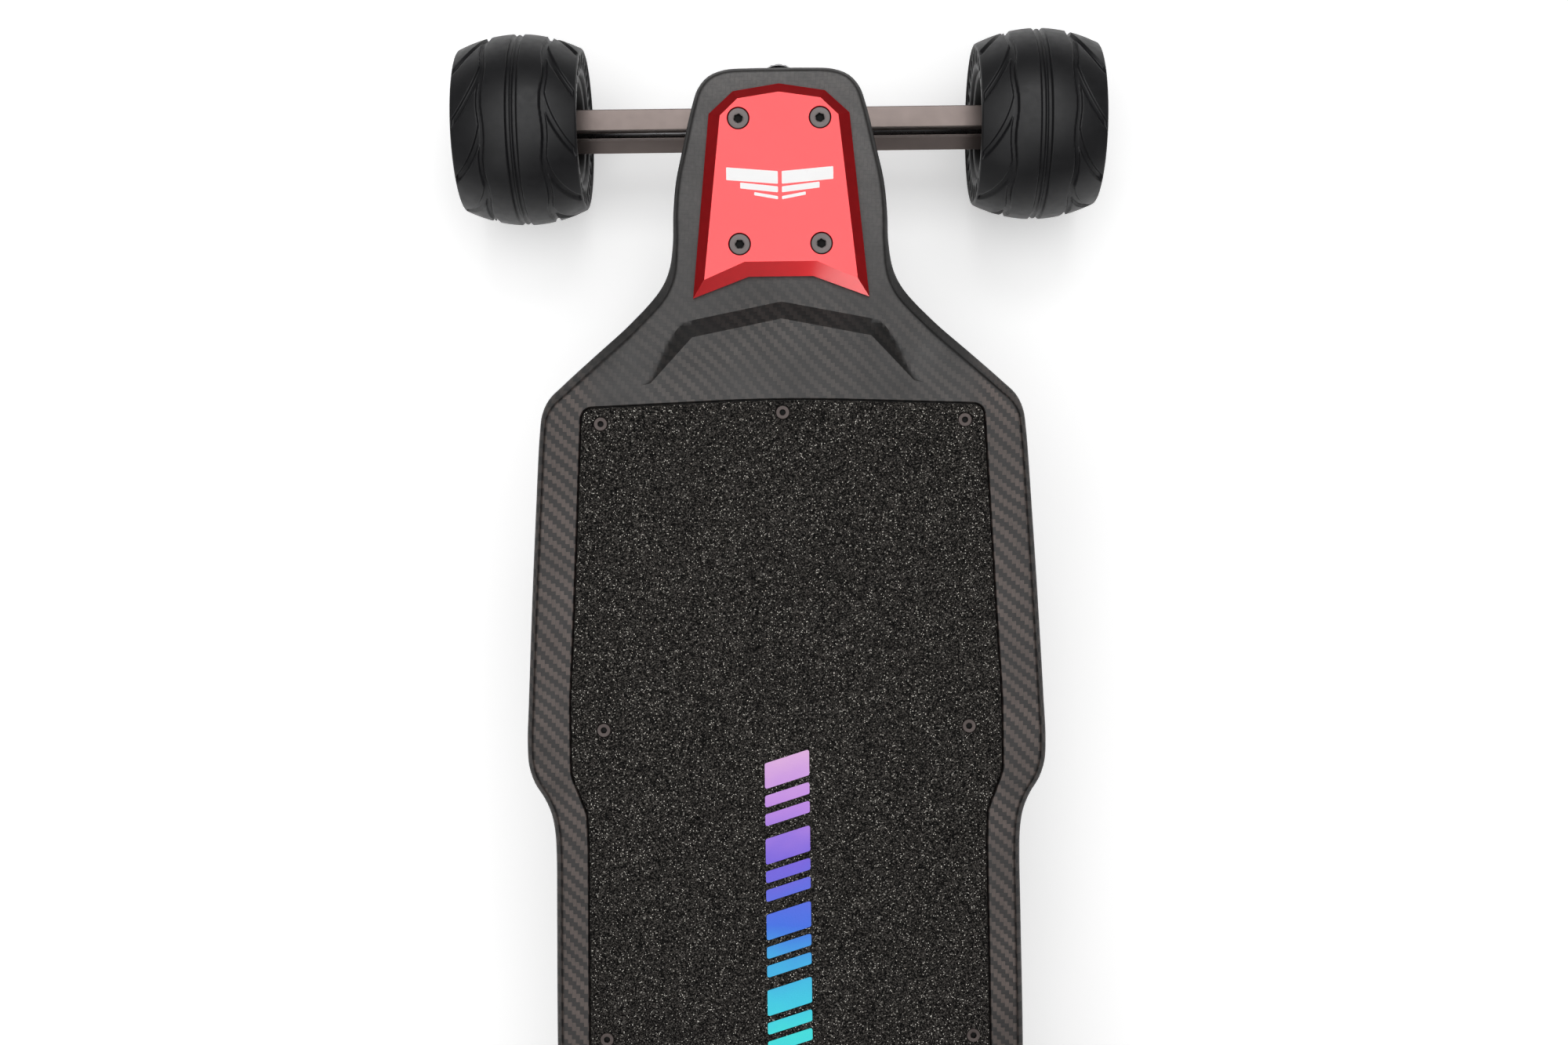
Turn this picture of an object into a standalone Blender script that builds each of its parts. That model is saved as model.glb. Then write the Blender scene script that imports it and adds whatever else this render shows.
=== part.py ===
"""Electric carving skateboard: hollow carbon deck, double-kingpin trucks, airless wheels, belt drive.

Metres, +Z up, +Y towards the nose. The ground is z = 0, under the middle of the board.
Lengths below are written in millimetres and turned into metres by MM.
"""
import math

import bmesh
import bpy
from mathutils import Matrix, Vector

MM = 0.001

# Wheels and wheelbase
TYRE_RADIUS = 52.5
TYRE_SEGMENTS = 36
AXLE_Y = 482.0
AXLE_Z = TYRE_RADIUS * math.cos(math.pi / TYRE_SEGMENTS)   # a flat facet of each tyre is on the ground
WHEEL_X = 143.0
TYRE_HALF_WIDTH = 34.0
CORE_RADIUS = 30.0
RIM_INNER_RADIUS = 25.5
HUB_RADIUS = 15.0
BEARING_RADIUS = 11.0
BEARING_WIDTH = 7.0
BEARING_OFFSET = 14.5      # wheel centre to the middle of each bearing
AXLE_RADIUS = 4.0
AXLE_END = 171.0
ROUND = 20                 # sides of most turned parts

# Deck heights
PLATFORM_TOP = 150.5
PLATFORM_BOTTOM = 108.0
NOSE_TOP = 146.0
NOSE_BOTTOM = 133.0
TOP_RISE = (373.0, 361.0)       # y where the top climbs from the nose to the platform
BOTTOM_DROP = (374.0, 332.0)    # y where the underside drops to the platform
WALL = 4.0
LID_LEDGE = 145.0
LID_GAP = 0.7

# Half widths (y, x) of the deck from the nose tip to the middle; the tail half is the same
DECK_EDGE = [(491.5, 22), (490, 32), (484, 40), (470, 45), (440, 52), (415, 54.6), (395, 55.5),
             (379, 62), (355, 85.7), (323, 119.4), (315, 122.4), (307, 123.4), (243, 127.2),
             (160, 130.8), (142, 131.2), (122, 123.2), (106, 118), (90, 117.4), (0, 118)]

# Quarter outlines (x, y) of the lid and of the truck covers
LID_QUARTER = [(0, 322.3), (92, 318.7), (98.5, 317.2), (101, 313), (106.1, 215), (108.4, 176),
               (108.3, 136), (101.2, 118), (100, 96), (101, 0)]
CAVITY_QUARTER = [(0, 312), (92, 309), (98, 215), (100, 176), (100, 140), (93, 120), (92, 96), (93, 0)]
COVER_EDGE = [(0, 481.7), (23.1, 478), (35.4, 466.8), (44.6, 373.8), (16.3, 384.5)]
COVER_TOP = [(0, 477.4), (21.1, 474.2), (30, 465.6), (38.7, 382.8), (18.2, 391.7)]
COVER_HEIGHTS = (146.3, 148.6, 151.8)
BOLT_X = 20.65                  # the 41.3 x 63.5 mm pattern that skateboard trucks share
BOLT_Y = (400.6, 464.1)
BOLT_RADIUS = 2.7

# Truck: both pivots tilt 45 degrees; s runs up and forward along a pivot, t down and forward
TILT = math.radians(45)
INNER_CENTRE = (437.6, 94.9)    # y, z where the inner kingpin crosses the inner pivot line
OUTER_S = 28.0                  # the outer kingpin, measured from the inner one
OUTER_T = 46.0
PIVOT_REACH = 40.0              # kingpin to pivot cup, along s
KINGPIN_RADIUS = 5.0
PIVOT_RADIUS = 6.0
BUSHING_RADIUS = 13.5
BUSHING_TIP = 10.6               # the lower bushings taper to this
WASHER_RADIUS = 11.0
RING_HALF = 5.0
BEAM_END = 116.5
BEAM = [(-12, -7), (-9, -11), (8, -11), (10.5, -8), (10.5, 4), (8.3, 7), (8.3, 12.5),
        (-3.1, 12.5), (-3.1, 5), (-6.3, 5), (-6.3, 0)]      # y, z round the axle
FIT = 0.3                       # gap left between parts that touch

# Belt drive on the rear truck
BELT_CENTRES = 84.0
WHEEL_TEETH = 38
MOTOR_TEETH = 16
TOOTH_PITCH = 5.13
WHEEL_PULLEY_RADIUS = WHEEL_TEETH * TOOTH_PITCH / math.tau
MOTOR_PULLEY_RADIUS = MOTOR_TEETH * TOOTH_PITCH / math.tau
BELT_X = (96.3, 106.0)
BELT_THICKNESS = 2.2
FLANGE = 2.2
MOTOR_RADIUS = 28.0
MOTOR_X = (30.0, 80.5)
MOTOR_BASE_X = (81.0, 86.7)
MOUNT_X = (87.0, 92.0)
SHAFT_RADIUS = 4.0

# Socket and button
SOCKET_Y = -60.0
SOCKET_Z = 131.0
SOCKET_FACE = 118.2
BUTTON_Y = -286.0

for old in list(bpy.data.objects):
    bpy.data.objects.remove(old)

PARTS = bpy.data.collections.new("electric_skateboard")
CUTTERS = bpy.data.collections.new("cutters")
bpy.context.scene.collection.children.link(PARTS)
bpy.context.scene.collection.children.link(CUTTERS)


# ---------------------------------------------------------------- materials

def material(name, colour, roughness, metallic=0.0):
    made = bpy.data.materials.get(name)
    if made is None:
        made = bpy.data.materials.new(name)
        made.use_nodes = True
        shader = made.node_tree.nodes["Principled BSDF"]
        shader.inputs["Base Color"].default_value = (*colour, 1)
        shader.inputs["Roughness"].default_value = roughness
        shader.inputs["Metallic"].default_value = metallic
    return made


CARBON = material("carbon_twill", (0.07, 0.065, 0.06), 0.5)
GRIP = material("black_grit", (0.02, 0.02, 0.02), 0.9)
RED = material("red_anodised", (0.75, 0.06, 0.06), 0.4, 0.8)
GUNMETAL = material("gunmetal", (0.2, 0.2, 0.21), 0.4, 0.9)
STEEL = material("bright_steel", (0.55, 0.55, 0.56), 0.3, 1.0)
TYRE_RUBBER = material("tyre_rubber", (0.03, 0.03, 0.03), 0.6)
BLACK_PLASTIC = material("black_plastic", (0.03, 0.03, 0.03), 0.45)
URETHANE = material("bushing_urethane", (0.6, 0.05, 0.04), 0.5)
SEAL_RUBBER = material("seal_rubber", (0.03, 0.03, 0.03), 0.8)
BELT_RUBBER = material("belt_rubber", (0.04, 0.04, 0.04), 0.7)
PACK_WRAP = material("battery_wrap", (0.05, 0.15, 0.3), 0.4)
BLACK_METAL = material("black_anodised", (0.05, 0.05, 0.055), 0.4, 0.8)


# ---------------------------------------------------------------- shape helpers

def add_object(name, mesh, finish, parent=None, cutter=False):
    """Link a mesh as a named part, or as a hidden cutter."""
    made = bpy.data.objects.new(name, mesh)
    (CUTTERS if cutter else PARTS).objects.link(made)
    made.data.materials.append(finish)
    made.parent = parent
    if cutter:
        made.hide_render = True
        made.display_type = 'WIRE'
    return made


def pivot(name, location, turn=0.0, parent=None):
    """An empty that carries the pieces that move together."""
    made = bpy.data.objects.new(name, None)
    bpy.context.scene.collection.objects.link(made)
    made.location = Vector(location) * MM
    made.rotation_euler = (0, 0, turn)
    made.parent = parent
    return made


def extruded(name, outline, low, high, finish, parent=None, cutter=False, upright=False):
    """A flat outline made solid between two levels: (x, y) along Z, or upright (y, z) along X."""
    curve = bpy.data.curves.new(name, 'CURVE')
    curve.dimensions = '2D'
    curve.fill_mode = 'BOTH'
    curve.extrude = (high - low) / 2 * MM
    spline = curve.splines.new('POLY')
    spline.points.add(len(outline) - 1)
    for point, (across, along) in zip(spline.points, outline):
        point.co = (across * MM, along * MM, 0, 1)
    spline.use_cyclic_u = True
    holder = bpy.data.objects.new(name, curve)
    bpy.context.scene.collection.objects.link(holder)
    bpy.context.view_layer.update()
    mesh = bpy.data.meshes.new_from_object(holder.evaluated_get(bpy.context.evaluated_depsgraph_get()))
    bpy.data.objects.remove(holder)
    shape = bmesh.new()
    shape.from_mesh(mesh)
    bmesh.ops.remove_doubles(shape, verts=shape.verts, dist=1e-6)
    bmesh.ops.translate(shape, verts=shape.verts, vec=(0, 0, (high + low) / 2 * MM))
    if upright:
        turn = Matrix(((0, 0, 1), (1, 0, 0), (0, 1, 0)))
        bmesh.ops.transform(shape, matrix=turn.to_4x4(), verts=shape.verts)
    bmesh.ops.recalc_face_normals(shape, faces=shape.faces)
    shape.to_mesh(mesh)
    shape.free()
    mesh.materials.clear()
    return add_object(name, mesh, finish, parent, cutter)


def turned(name, profile, finish, parent=None, steps=ROUND, ring=True, cutter=False):
    """A profile of (radius, height) points turned round Z, from the top down its outer side."""
    mesh = bpy.data.meshes.new(name)
    shape = bmesh.new()
    corners = [shape.verts.new((radius * MM, 0, height * MM)) for radius, height in profile]
    for first, second in zip(corners, corners[1:]):
        shape.edges.new((first, second))
    if ring:
        shape.edges.new((corners[-1], corners[0]))
    shape.to_mesh(mesh)
    shape.free()
    made = add_object(name, mesh, finish, parent, cutter)
    screw = made.modifiers.new("turn", 'SCREW')
    screw.steps = steps
    screw.render_steps = steps
    screw.use_merge_vertices = True
    screw.merge_threshold = 1e-5
    return made


def cylinder(name, radius, low, high, finish, parent=None, steps=ROUND, cutter=True):
    """A plain cylinder along Z between two levels."""
    mesh = bpy.data.meshes.new(name)
    shape = bmesh.new()
    bmesh.ops.create_cone(shape, cap_ends=True, segments=steps, radius1=radius * MM,
                          radius2=radius * MM, depth=(high - low) * MM)
    bmesh.ops.translate(shape, verts=shape.verts, vec=(0, 0, (high + low) / 2 * MM))
    shape.to_mesh(mesh)
    shape.free()
    return add_object(name, mesh, finish, parent, cutter)


def block(name, low, high, finish, parent=None, cutter=False):
    """A box between two corners."""
    mesh = bpy.data.meshes.new(name)
    shape = bmesh.new()
    bmesh.ops.create_cube(shape, size=1)
    span = [top - bottom for bottom, top in zip(low, high)]
    middle = [(top + bottom) / 2 for bottom, top in zip(low, high)]
    bmesh.ops.scale(shape, verts=shape.verts, vec=[length * MM for length in span])
    bmesh.ops.translate(shape, verts=shape.verts, vec=[length * MM for length in middle])
    shape.to_mesh(mesh)
    shape.free()
    return add_object(name, mesh, finish, parent, cutter)


def combine(target, other, operation):
    """Cut another object out of the target, or join it on."""
    step = target.modifiers.new(other.name, 'BOOLEAN')
    step.operation = operation
    step.solver = 'EXACT'
    step.object = other


def cut(target, other):
    combine(target, other, 'DIFFERENCE')


def join(target, other):
    combine(target, other, 'UNION')


def along_x(item, x, y, z, outward=1):
    """Lay an item turned round Z along X, its top towards +X, or towards -X."""
    item.rotation_euler = (0, outward * math.pi / 2, 0)
    item.location = Vector((x, y, z)) * MM
    return item


def tilted(s, t):
    """The (y, z) point at s along the pivot line and t along the kingpin, in the front truck."""
    y = INNER_CENTRE[0] + s * math.cos(TILT) + t * math.sin(TILT)
    z = INNER_CENTRE[1] + s * math.sin(TILT) - t * math.cos(TILT)
    return y, z


def along_kingpin(item, s):
    """Lay an item turned round Z along a kingpin, with its heights as -t."""
    item.rotation_euler = (TILT, 0, 0)
    item.location = Vector((0, *tilted(s, 0))) * MM
    return item


def along_pivot(item, t):
    """Lay an item turned round Z along a pivot line, with its heights as s."""
    item.rotation_euler = (TILT - math.pi / 2, 0, 0)
    item.location = Vector((0, *tilted(0, t))) * MM
    return item


def smooth_value(points, at):
    """A smooth curve through (position, value) points listed from high to low position."""
    for index in range(len(points) - 1):
        (start, low), (end, high) = points[index], points[index + 1]
        if start >= at >= end:
            break
    before = points[max(index - 1, 0)]
    after = points[min(index + 2, len(points) - 1)]
    span = end - start
    slope_in = (high - before[1]) / (end - before[0])
    slope_out = (after[1] - low) / (after[0] - start)
    f = (at - start) / span
    blend_in = f * (1 - f) ** 2 * slope_in * span
    blend_out = -f * f * (1 - f) * slope_out * span
    return low + (high - low) * f * f * (3 - 2 * f) + blend_in + blend_out


def ramp(at, start, end):
    """0 at start and 1 at end, eased at both."""
    f = min(max((at - start) / (end - start), 0), 1)
    return f * f * (3 - 2 * f)


def offset_outline(points, distance):
    """Move each side of a closed counter-clockwise outline outwards, or inwards below zero."""
    moved = []
    for index, point in enumerate(points):
        here = Vector(point)
        into = (here - Vector(points[index - 1])).normalized()
        out = (Vector(points[(index + 1) % len(points)]) - here).normalized()
        normal_in = Vector((into.y, -into.x))
        normal_out = Vector((out.y, -out.x))
        middle = (normal_in + normal_out).normalized()
        moved.append(tuple(here + middle * distance / middle.dot(normal_in)))
    return moved


def four_fold(quarter):
    """A quarter outline from x = 0 round to y = 0, made whole and counter-clockwise."""
    right = [(x, y) for x, y in quarter]
    lower = [(x, -y) for x, y in reversed(quarter[:-1])]
    left = [(-x, y) for x, y in reversed((right + lower)[1:-1])]
    return list(reversed(right + lower + left))


def two_fold(half):
    """A half outline whose first point is on x = 0, made whole and counter-clockwise."""
    left = [(-x, y) for x, y in half[1:]]
    return left + list(reversed(half))


# ---------------------------------------------------------------- deck

def deck_section(y):
    """The closed (x, z) section of the deck at y."""
    reach = abs(y)
    half = smooth_value(DECK_EDGE, reach)
    top = NOSE_TOP + (PLATFORM_TOP - NOSE_TOP) * ramp(reach, *TOP_RISE)
    bottom = NOSE_BOTTOM + (PLATFORM_BOTTOM - NOSE_BOTTOM) * ramp(reach, *BOTTOM_DROP)
    depth = (top - bottom) / (PLATFORM_TOP - PLATFORM_BOTTOM)
    top_round = 4.5 + 3.5 * depth
    low_round = 3.0 + 11.0 * depth
    right = []
    for step in range(3):
        angle = math.radians(45 * step)
        right.append((half - top_round * (1 - math.sin(angle)), top - top_round * (1 - math.cos(angle))))
    for step in range(3):
        angle = math.radians(45 * step)
        right.append((half - low_round * (1 - math.cos(angle)), bottom + low_round * (1 - math.sin(angle))))
    return right + [(-x, z) for x, z in reversed(right)]


def build_deck_shell():
    """A loft through sections along Y, hollowed from above for the lid and the electronics."""
    nose = [y for y, _ in DECK_EDGE]
    stations = sorted(set(nose + [477, 373, 367, 345, 335, 275, 200, 132, 45]))
    stations = [-y for y in reversed(stations) if y > 0] + stations
    mesh = bpy.data.meshes.new("deck_shell")
    shape = bmesh.new()
    rings = [[shape.verts.new((x * MM, y * MM, z * MM)) for x, z in deck_section(y)] for y in stations]
    for ring, following in zip(rings, rings[1:]):
        for index in range(len(ring)):
            shape.faces.new((ring[index - 1], ring[index], following[index], following[index - 1]))
    shape.faces.new(rings[0])
    shape.faces.new(rings[-1])
    bmesh.ops.recalc_face_normals(shape, faces=shape.faces)
    shape.to_mesh(mesh)
    shape.free()
    deck = add_object("deck_shell", mesh, CARBON)
    lid = four_fold(LID_QUARTER)
    recess = extruded("lid_recess", offset_outline(lid, LID_GAP), LID_LEDGE, 160, CARBON, cutter=True)
    cavity = extruded("deck_cavity", four_fold(CAVITY_QUARTER), PLATFORM_BOTTOM + WALL, 148, CARBON,
                      cutter=True)
    cut(deck, recess)
    cut(deck, cavity)
    for end in (1, -1):
        for x in (BOLT_X, -BOLT_X):
            for y in BOLT_Y:
                bolt_hole = cylinder("deck_bolt_hole", BOLT_RADIUS, 125, 155, CARBON, steps=12)
                bolt_hole.location = Vector((x, end * y, 0)) * MM
                cut(deck, bolt_hole)
    socket_hole = cylinder("socket_hole", 7.3, -20, 10, CARBON)
    cut(deck, along_x(socket_hole, SOCKET_FACE, SOCKET_Y, SOCKET_Z))
    button_hole = cylinder("button_hole", 6.3, 100, 120, CARBON)
    button_hole.location = Vector((0, BUTTON_Y, 0)) * MM
    cut(deck, button_hole)


def build_lid():
    """The grit-covered lid and the seal under its edge."""
    lid = four_fold(LID_QUARTER)
    extruded("grip_lid", lid, LID_LEDGE + 1.4, PLATFORM_TOP + 0.3, GRIP)
    seal = extruded("lid_seal", offset_outline(lid, -0.5), LID_LEDGE + 0.2, LID_LEDGE + 1.2, SEAL_RUBBER)
    window = extruded("seal_window", offset_outline(four_fold(CAVITY_QUARTER), 0.5), 140, 150,
                      SEAL_RUBBER, cutter=True)
    cut(seal, window)


def build_truck_cover(name, end):
    """The pointed red plate that the truck bolts pass through."""
    mesh = bpy.data.meshes.new(name)
    shape = bmesh.new()
    levels = zip((COVER_EDGE, COVER_EDGE, COVER_TOP), COVER_HEIGHTS)
    rings = []
    for outline, height in levels:
        points = two_fold(outline)
        rings.append([shape.verts.new((x * end * MM, y * end * MM, height * MM)) for x, y in points])
    for ring, following in zip(rings, rings[1:]):
        for index in range(len(ring)):
            shape.faces.new((ring[index - 1], ring[index], following[index], following[index - 1]))
    shape.faces.new(list(reversed(rings[0])))
    shape.faces.new(rings[-1])
    bmesh.ops.recalc_face_normals(shape, faces=shape.faces)
    shape.to_mesh(mesh)
    shape.free()
    cover = add_object(name, mesh, RED)
    for x in (BOLT_X, -BOLT_X):
        for y in BOLT_Y:
            hole = turned(name + "_countersink", [(0, 156), (9.5, 156), (BOLT_RADIUS, 148.6),
                                                  (BOLT_RADIUS, 144), (0, 144)],
                          RED, steps=16, ring=False, cutter=True)
            hole.location = Vector((x, end * y, 0)) * MM
            cut(cover, hole)


def build_electronics():
    """The battery and the motor controller in the hollow of the deck."""
    floor = PLATFORM_BOTTOM + WALL + 0.5
    block("battery_pack", (-86, -140, floor), (86, 298, floor + 29), PACK_WRAP)
    block("motor_controller", (-60, -262, floor), (60, -148, floor + 24), BLACK_METAL)


def build_charge_socket():
    """The socket in the right flank, and its hinged rubber cap."""
    socket = turned("charge_socket", [(0, -14.5), (4.2, -14.5), (4.2, 1.6), (8.5, 1.6), (8.5, 0.1),
                                      (7.0, 0.1), (7.0, -18), (0, -18)], BLACK_PLASTIC, ring=False)
    along_x(socket, SOCKET_FACE, SOCKET_Y, SOCKET_Z)
    hinge = pivot("charge_cap_hinge", (SOCKET_FACE + 3.2, SOCKET_Y, SOCKET_Z - 10.5))
    cap = turned("charge_cap", [(0, 4.4), (8.5, 4.4), (8.5, 1.9), (3.0, 1.9), (3.0, -0.5), (0, -0.5)],
                 SEAL_RUBBER, hinge, ring=False)
    along_x(cap, -3.2, 0, 10.5)
    tab = block("charge_cap_tab", (-1.2, -4, -1.2), (1.0, 4, 4), SEAL_RUBBER, hinge, cutter=True)
    join(cap, tab)


def build_power_button():
    """The power button in the underside of the tail, held in by its flange."""
    seat = pivot("power_button_slide", (0, BUTTON_Y, PLATFORM_BOTTOM))
    turned("power_button", [(0, 5.8), (8.0, 5.8), (8.0, 4.3), (6.0, 4.3), (6.0, -1.0), (0, -1.0)],
           BLACK_METAL, seat, ring=False)


# ---------------------------------------------------------------- trucks

def build_baseplate(prefix, truck):
    """The plate bolted under the deck, with the inner kingpin's seat and the inner pivot cup."""
    top = NOSE_BOTTOM - FIT
    plate = block(prefix + "_baseplate", (-30, 386, top - 6), (30, 477, top), GUNMETAL, truck)
    side = [(388, top - 5), (388, 90), tilted(-50, -12), tilted(-50, 12), tilted(-33, 12),
            tilted(-33, -12), tilted(-16, -19.4), tilted(15, -19.4), (444, top - 5)]
    web = extruded(prefix + "_baseplate_web", side, -13, 13, GUNMETAL, truck, cutter=True, upright=True)
    join(plate, web)
    cup = cylinder(prefix + "_inner_cup", PIVOT_RADIUS + FIT, -47, -30, GUNMETAL, truck)
    cut(plate, along_pivot(cup, 0))
    seat = cylinder(prefix + "_inner_seat", KINGPIN_RADIUS + FIT, 15, 33, GUNMETAL, truck)
    cut(plate, along_kingpin(seat, 0))
    for x in (BOLT_X, -BOLT_X):
        for y in BOLT_Y:
            hole = cylinder(prefix + "_plate_hole", BOLT_RADIUS, 110, 140, GUNMETAL, truck, steps=12)
            hole.location = Vector((x, y, 0)) * MM
            cut(plate, hole)


def build_kingpin(name, parent, s, head, washer):
    """A kingpin from its seat down to its lock nut; washer is where the cup washer starts."""
    bolt = KINGPIN_RADIUS
    profile = [(0, -head), (bolt, -head), (bolt, -washer), (WASHER_RADIUS, -washer),
               (WASHER_RADIUS, -washer - 1.7),
               (7.5, -washer - 1.7), (7.5, -washer - 8.7), (bolt, -washer - 8.7),
               (bolt, -washer - 11.7), (0, -washer - 11.7)]
    along_kingpin(turned(name, profile, STEEL, parent, ring=False), s)


def build_bushing(name, parent, s, start, end, tip=BUSHING_RADIUS - 1):
    """A urethane bushing round a kingpin, from start to end along t, narrowing to its tip."""
    bore = KINGPIN_RADIUS + FIT
    waist = min(tip + 1.2, BUSHING_RADIUS)
    profile = [(bore, -start), (BUSHING_RADIUS - 1, -start), (BUSHING_RADIUS, -start - 1),
               (waist, -(start + end) / 2), (tip, -end), (bore, -end)]
    along_kingpin(turned(name, profile, URETHANE, parent), s)


def build_arm(prefix, truck):
    """The middle link: a ring on the inner kingpin, a pivot pin, and the outer kingpin's seat."""
    side = [tilted(-28, -5), tilted(15, -5), tilted(41, 2), tilted(41, 26.6), tilted(15, 26.6),
            tilted(15, 5), tilted(-17, 5), tilted(-19, 35), tilted(-19, 57), tilted(-34, 57),
            tilted(-34, 20), tilted(-28, 14)]
    arm = extruded(prefix + "_truck_arm", side, -13, 13, GUNMETAL, truck, upright=True)
    ring = cylinder(prefix + "_arm_ring", 15.5, -RING_HALF, RING_HALF, GUNMETAL, truck)
    join(arm, along_kingpin(ring, 0))
    pin = cylinder(prefix + "_arm_pin", PIVOT_RADIUS, -45, -20, GUNMETAL, truck)
    join(arm, along_pivot(pin, 0))
    bore = cylinder(prefix + "_arm_bore", KINGPIN_RADIUS + 1.8, -15, 15, GUNMETAL, truck)
    cut(arm, along_kingpin(bore, 0))
    seat = cylinder(prefix + "_outer_seat", KINGPIN_RADIUS + FIT, -40, -5, GUNMETAL, truck)
    cut(arm, along_kingpin(seat, OUTER_S))
    cup = cylinder(prefix + "_outer_cup", PIVOT_RADIUS + FIT, -31, -10, GUNMETAL, truck)
    cut(arm, along_pivot(cup, OUTER_T))


def build_hanger(prefix, truck):
    """The axle beam with its ring on the outer kingpin and its pivot pin; the axle is pressed in."""
    side = [tilted(-15, 41), tilted(27, 41), tilted(27, 51), tilted(13.5, 51), tilted(11, 64.5),
            tilted(-6, 72), tilted(-14, 60), tilted(-15, 52)]
    hanger = extruded(prefix + "_hanger", side, -15, 15, GUNMETAL, truck, upright=True)
    beam = [(AXLE_Y + y, AXLE_Z + z) for y, z in BEAM]
    bar = extruded(prefix + "_beam", beam, -BEAM_END, BEAM_END, GUNMETAL, truck, cutter=True,
                   upright=True)
    join(hanger, bar)
    ring = cylinder(prefix + "_hanger_ring", 15.5, -OUTER_T - RING_HALF, RING_HALF - OUTER_T,
                    GUNMETAL, truck)
    join(hanger, along_kingpin(ring, OUTER_S))
    pin = cylinder(prefix + "_hanger_pin", PIVOT_RADIUS, -29, 0, GUNMETAL, truck)
    join(hanger, along_pivot(pin, OUTER_T))
    reach = WHEEL_X - BEARING_OFFSET - BEARING_WIDTH / 2 - FIT
    shoulder = cylinder(prefix + "_shoulder", 6, -reach, reach, GUNMETAL, truck)
    join(hanger, along_x(shoulder, 0, AXLE_Y, AXLE_Z))
    axle = cylinder(prefix + "_axle", AXLE_RADIUS, -AXLE_END, AXLE_END, GUNMETAL, truck)
    join(hanger, along_x(axle, 0, AXLE_Y, AXLE_Z))
    bore = cylinder(prefix + "_hanger_bore", KINGPIN_RADIUS + 1.8, -60, -30, GUNMETAL, truck)
    cut(hanger, along_kingpin(bore, OUTER_S))


def build_truck(prefix, turn):
    """One double-kingpin truck, modelled at the nose and turned half round for the tail."""
    truck = pivot(prefix + "_truck", (0, 0, 0), turn)
    build_baseplate(prefix, truck)
    build_kingpin(prefix + "_inner_kingpin", truck, 0, -32, 18.3)
    build_bushing(prefix + "_inner_bushing_upper", truck, 0, -19.1, -5.3)
    build_bushing(prefix + "_inner_bushing_lower", truck, 0, 5.3, 18, BUSHING_TIP)
    build_arm(prefix, truck)
    build_kingpin(prefix + "_outer_kingpin", truck, OUTER_S, 6, 64.3)
    build_bushing(prefix + "_outer_bushing_upper", truck, OUTER_S, 26.9, 40.7)
    build_bushing(prefix + "_outer_bushing_lower", truck, OUTER_S, 51.3, 64, BUSHING_TIP)
    build_hanger(prefix, truck)
    return truck


# ---------------------------------------------------------------- wheels

def build_wheel(prefix, x, y):
    """A moulded airless tyre on a windowed core, with two ball bearings and the axle nut."""
    hub = pivot(prefix + "_wheel", (x, y, AXLE_Z), 0 if x > 0 else math.pi)
    half = TYRE_HALF_WIDTH
    outer = [(33, half - 1.5), (43, half), (46.5, half - 1.5), (49.6, half - 8), (51.8, 15),
             (TYRE_RADIUS, 7)]
    mirrored = [(radius, -height) for radius, height in reversed(outer)]
    bore = [(CORE_RADIUS + FIT, -half + 4), (CORE_RADIUS + FIT, half - 4)]
    tyre = turned(prefix + "_tyre", outer + mirrored + bore, TYRE_RUBBER, hub, steps=TYRE_SEGMENTS)
    along_x(tyre, 0, 0, 0)
    tyre.rotation_euler = (Matrix.Rotation(math.pi / TYRE_SEGMENTS, 4, 'X')
                           @ Matrix.Rotation(math.pi / 2, 4, 'Y')).to_euler()
    build_core(prefix, hub)
    for side, offset in (("outer", BEARING_OFFSET), ("inner", -BEARING_OFFSET)):
        low = offset - BEARING_WIDTH / 2
        high = offset + BEARING_WIDTH / 2
        bearing = turned(f"{prefix}_bearing_{side}",
                         [(AXLE_RADIUS + 0.15, high), (BEARING_RADIUS, high), (BEARING_RADIUS, low),
                          (AXLE_RADIUS + 0.15, low)], STEEL, hub)
        along_x(bearing, 0, 0, 0)
    start = BEARING_OFFSET + BEARING_WIDTH / 2 + FIT
    nut = turned(prefix + "_axle_nut", [(5.0, start + 6), (7.5, start + 6), (7.5, start), (5.0, start)],
                 STEEL, hub, steps=6)
    along_x(nut, 0, 0, 0)


def build_core(prefix, hub):
    """The hub, web and rim that the tyre is moulded on, with six windows in the web."""
    rim = TYRE_HALF_WIDTH - 3.5
    hub_end = BEARING_OFFSET + BEARING_WIDTH / 2
    seat = BEARING_OFFSET - BEARING_WIDTH / 2 - 0.2
    profile = [(CORE_RADIUS, rim), (CORE_RADIUS, -rim), (RIM_INNER_RADIUS, -rim),
               (RIM_INNER_RADIUS, -4), (HUB_RADIUS, -4), (HUB_RADIUS, -hub_end),
               (BEARING_RADIUS + 0.15, -hub_end), (BEARING_RADIUS + 0.15, -seat), (8, -seat),
               (8, seat), (BEARING_RADIUS + 0.15, seat), (BEARING_RADIUS + 0.15, hub_end),
               (HUB_RADIUS, hub_end), (HUB_RADIUS, 4), (RIM_INNER_RADIUS, 4), (RIM_INNER_RADIUS, rim)]
    core = turned(prefix + "_core", profile, BLACK_PLASTIC, hub, steps=24)
    along_x(core, 0, 0, 0)
    for number in range(6):
        angle = math.radians(60 * number + 7.5)
        window = cylinder(prefix + "_core_window", 4.2, -8, 8, BLACK_PLASTIC, hub, steps=8)
        cut(core, along_x(window, 0, 20.3 * math.cos(angle), 20.3 * math.sin(angle)))


# ---------------------------------------------------------------- drive

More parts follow.
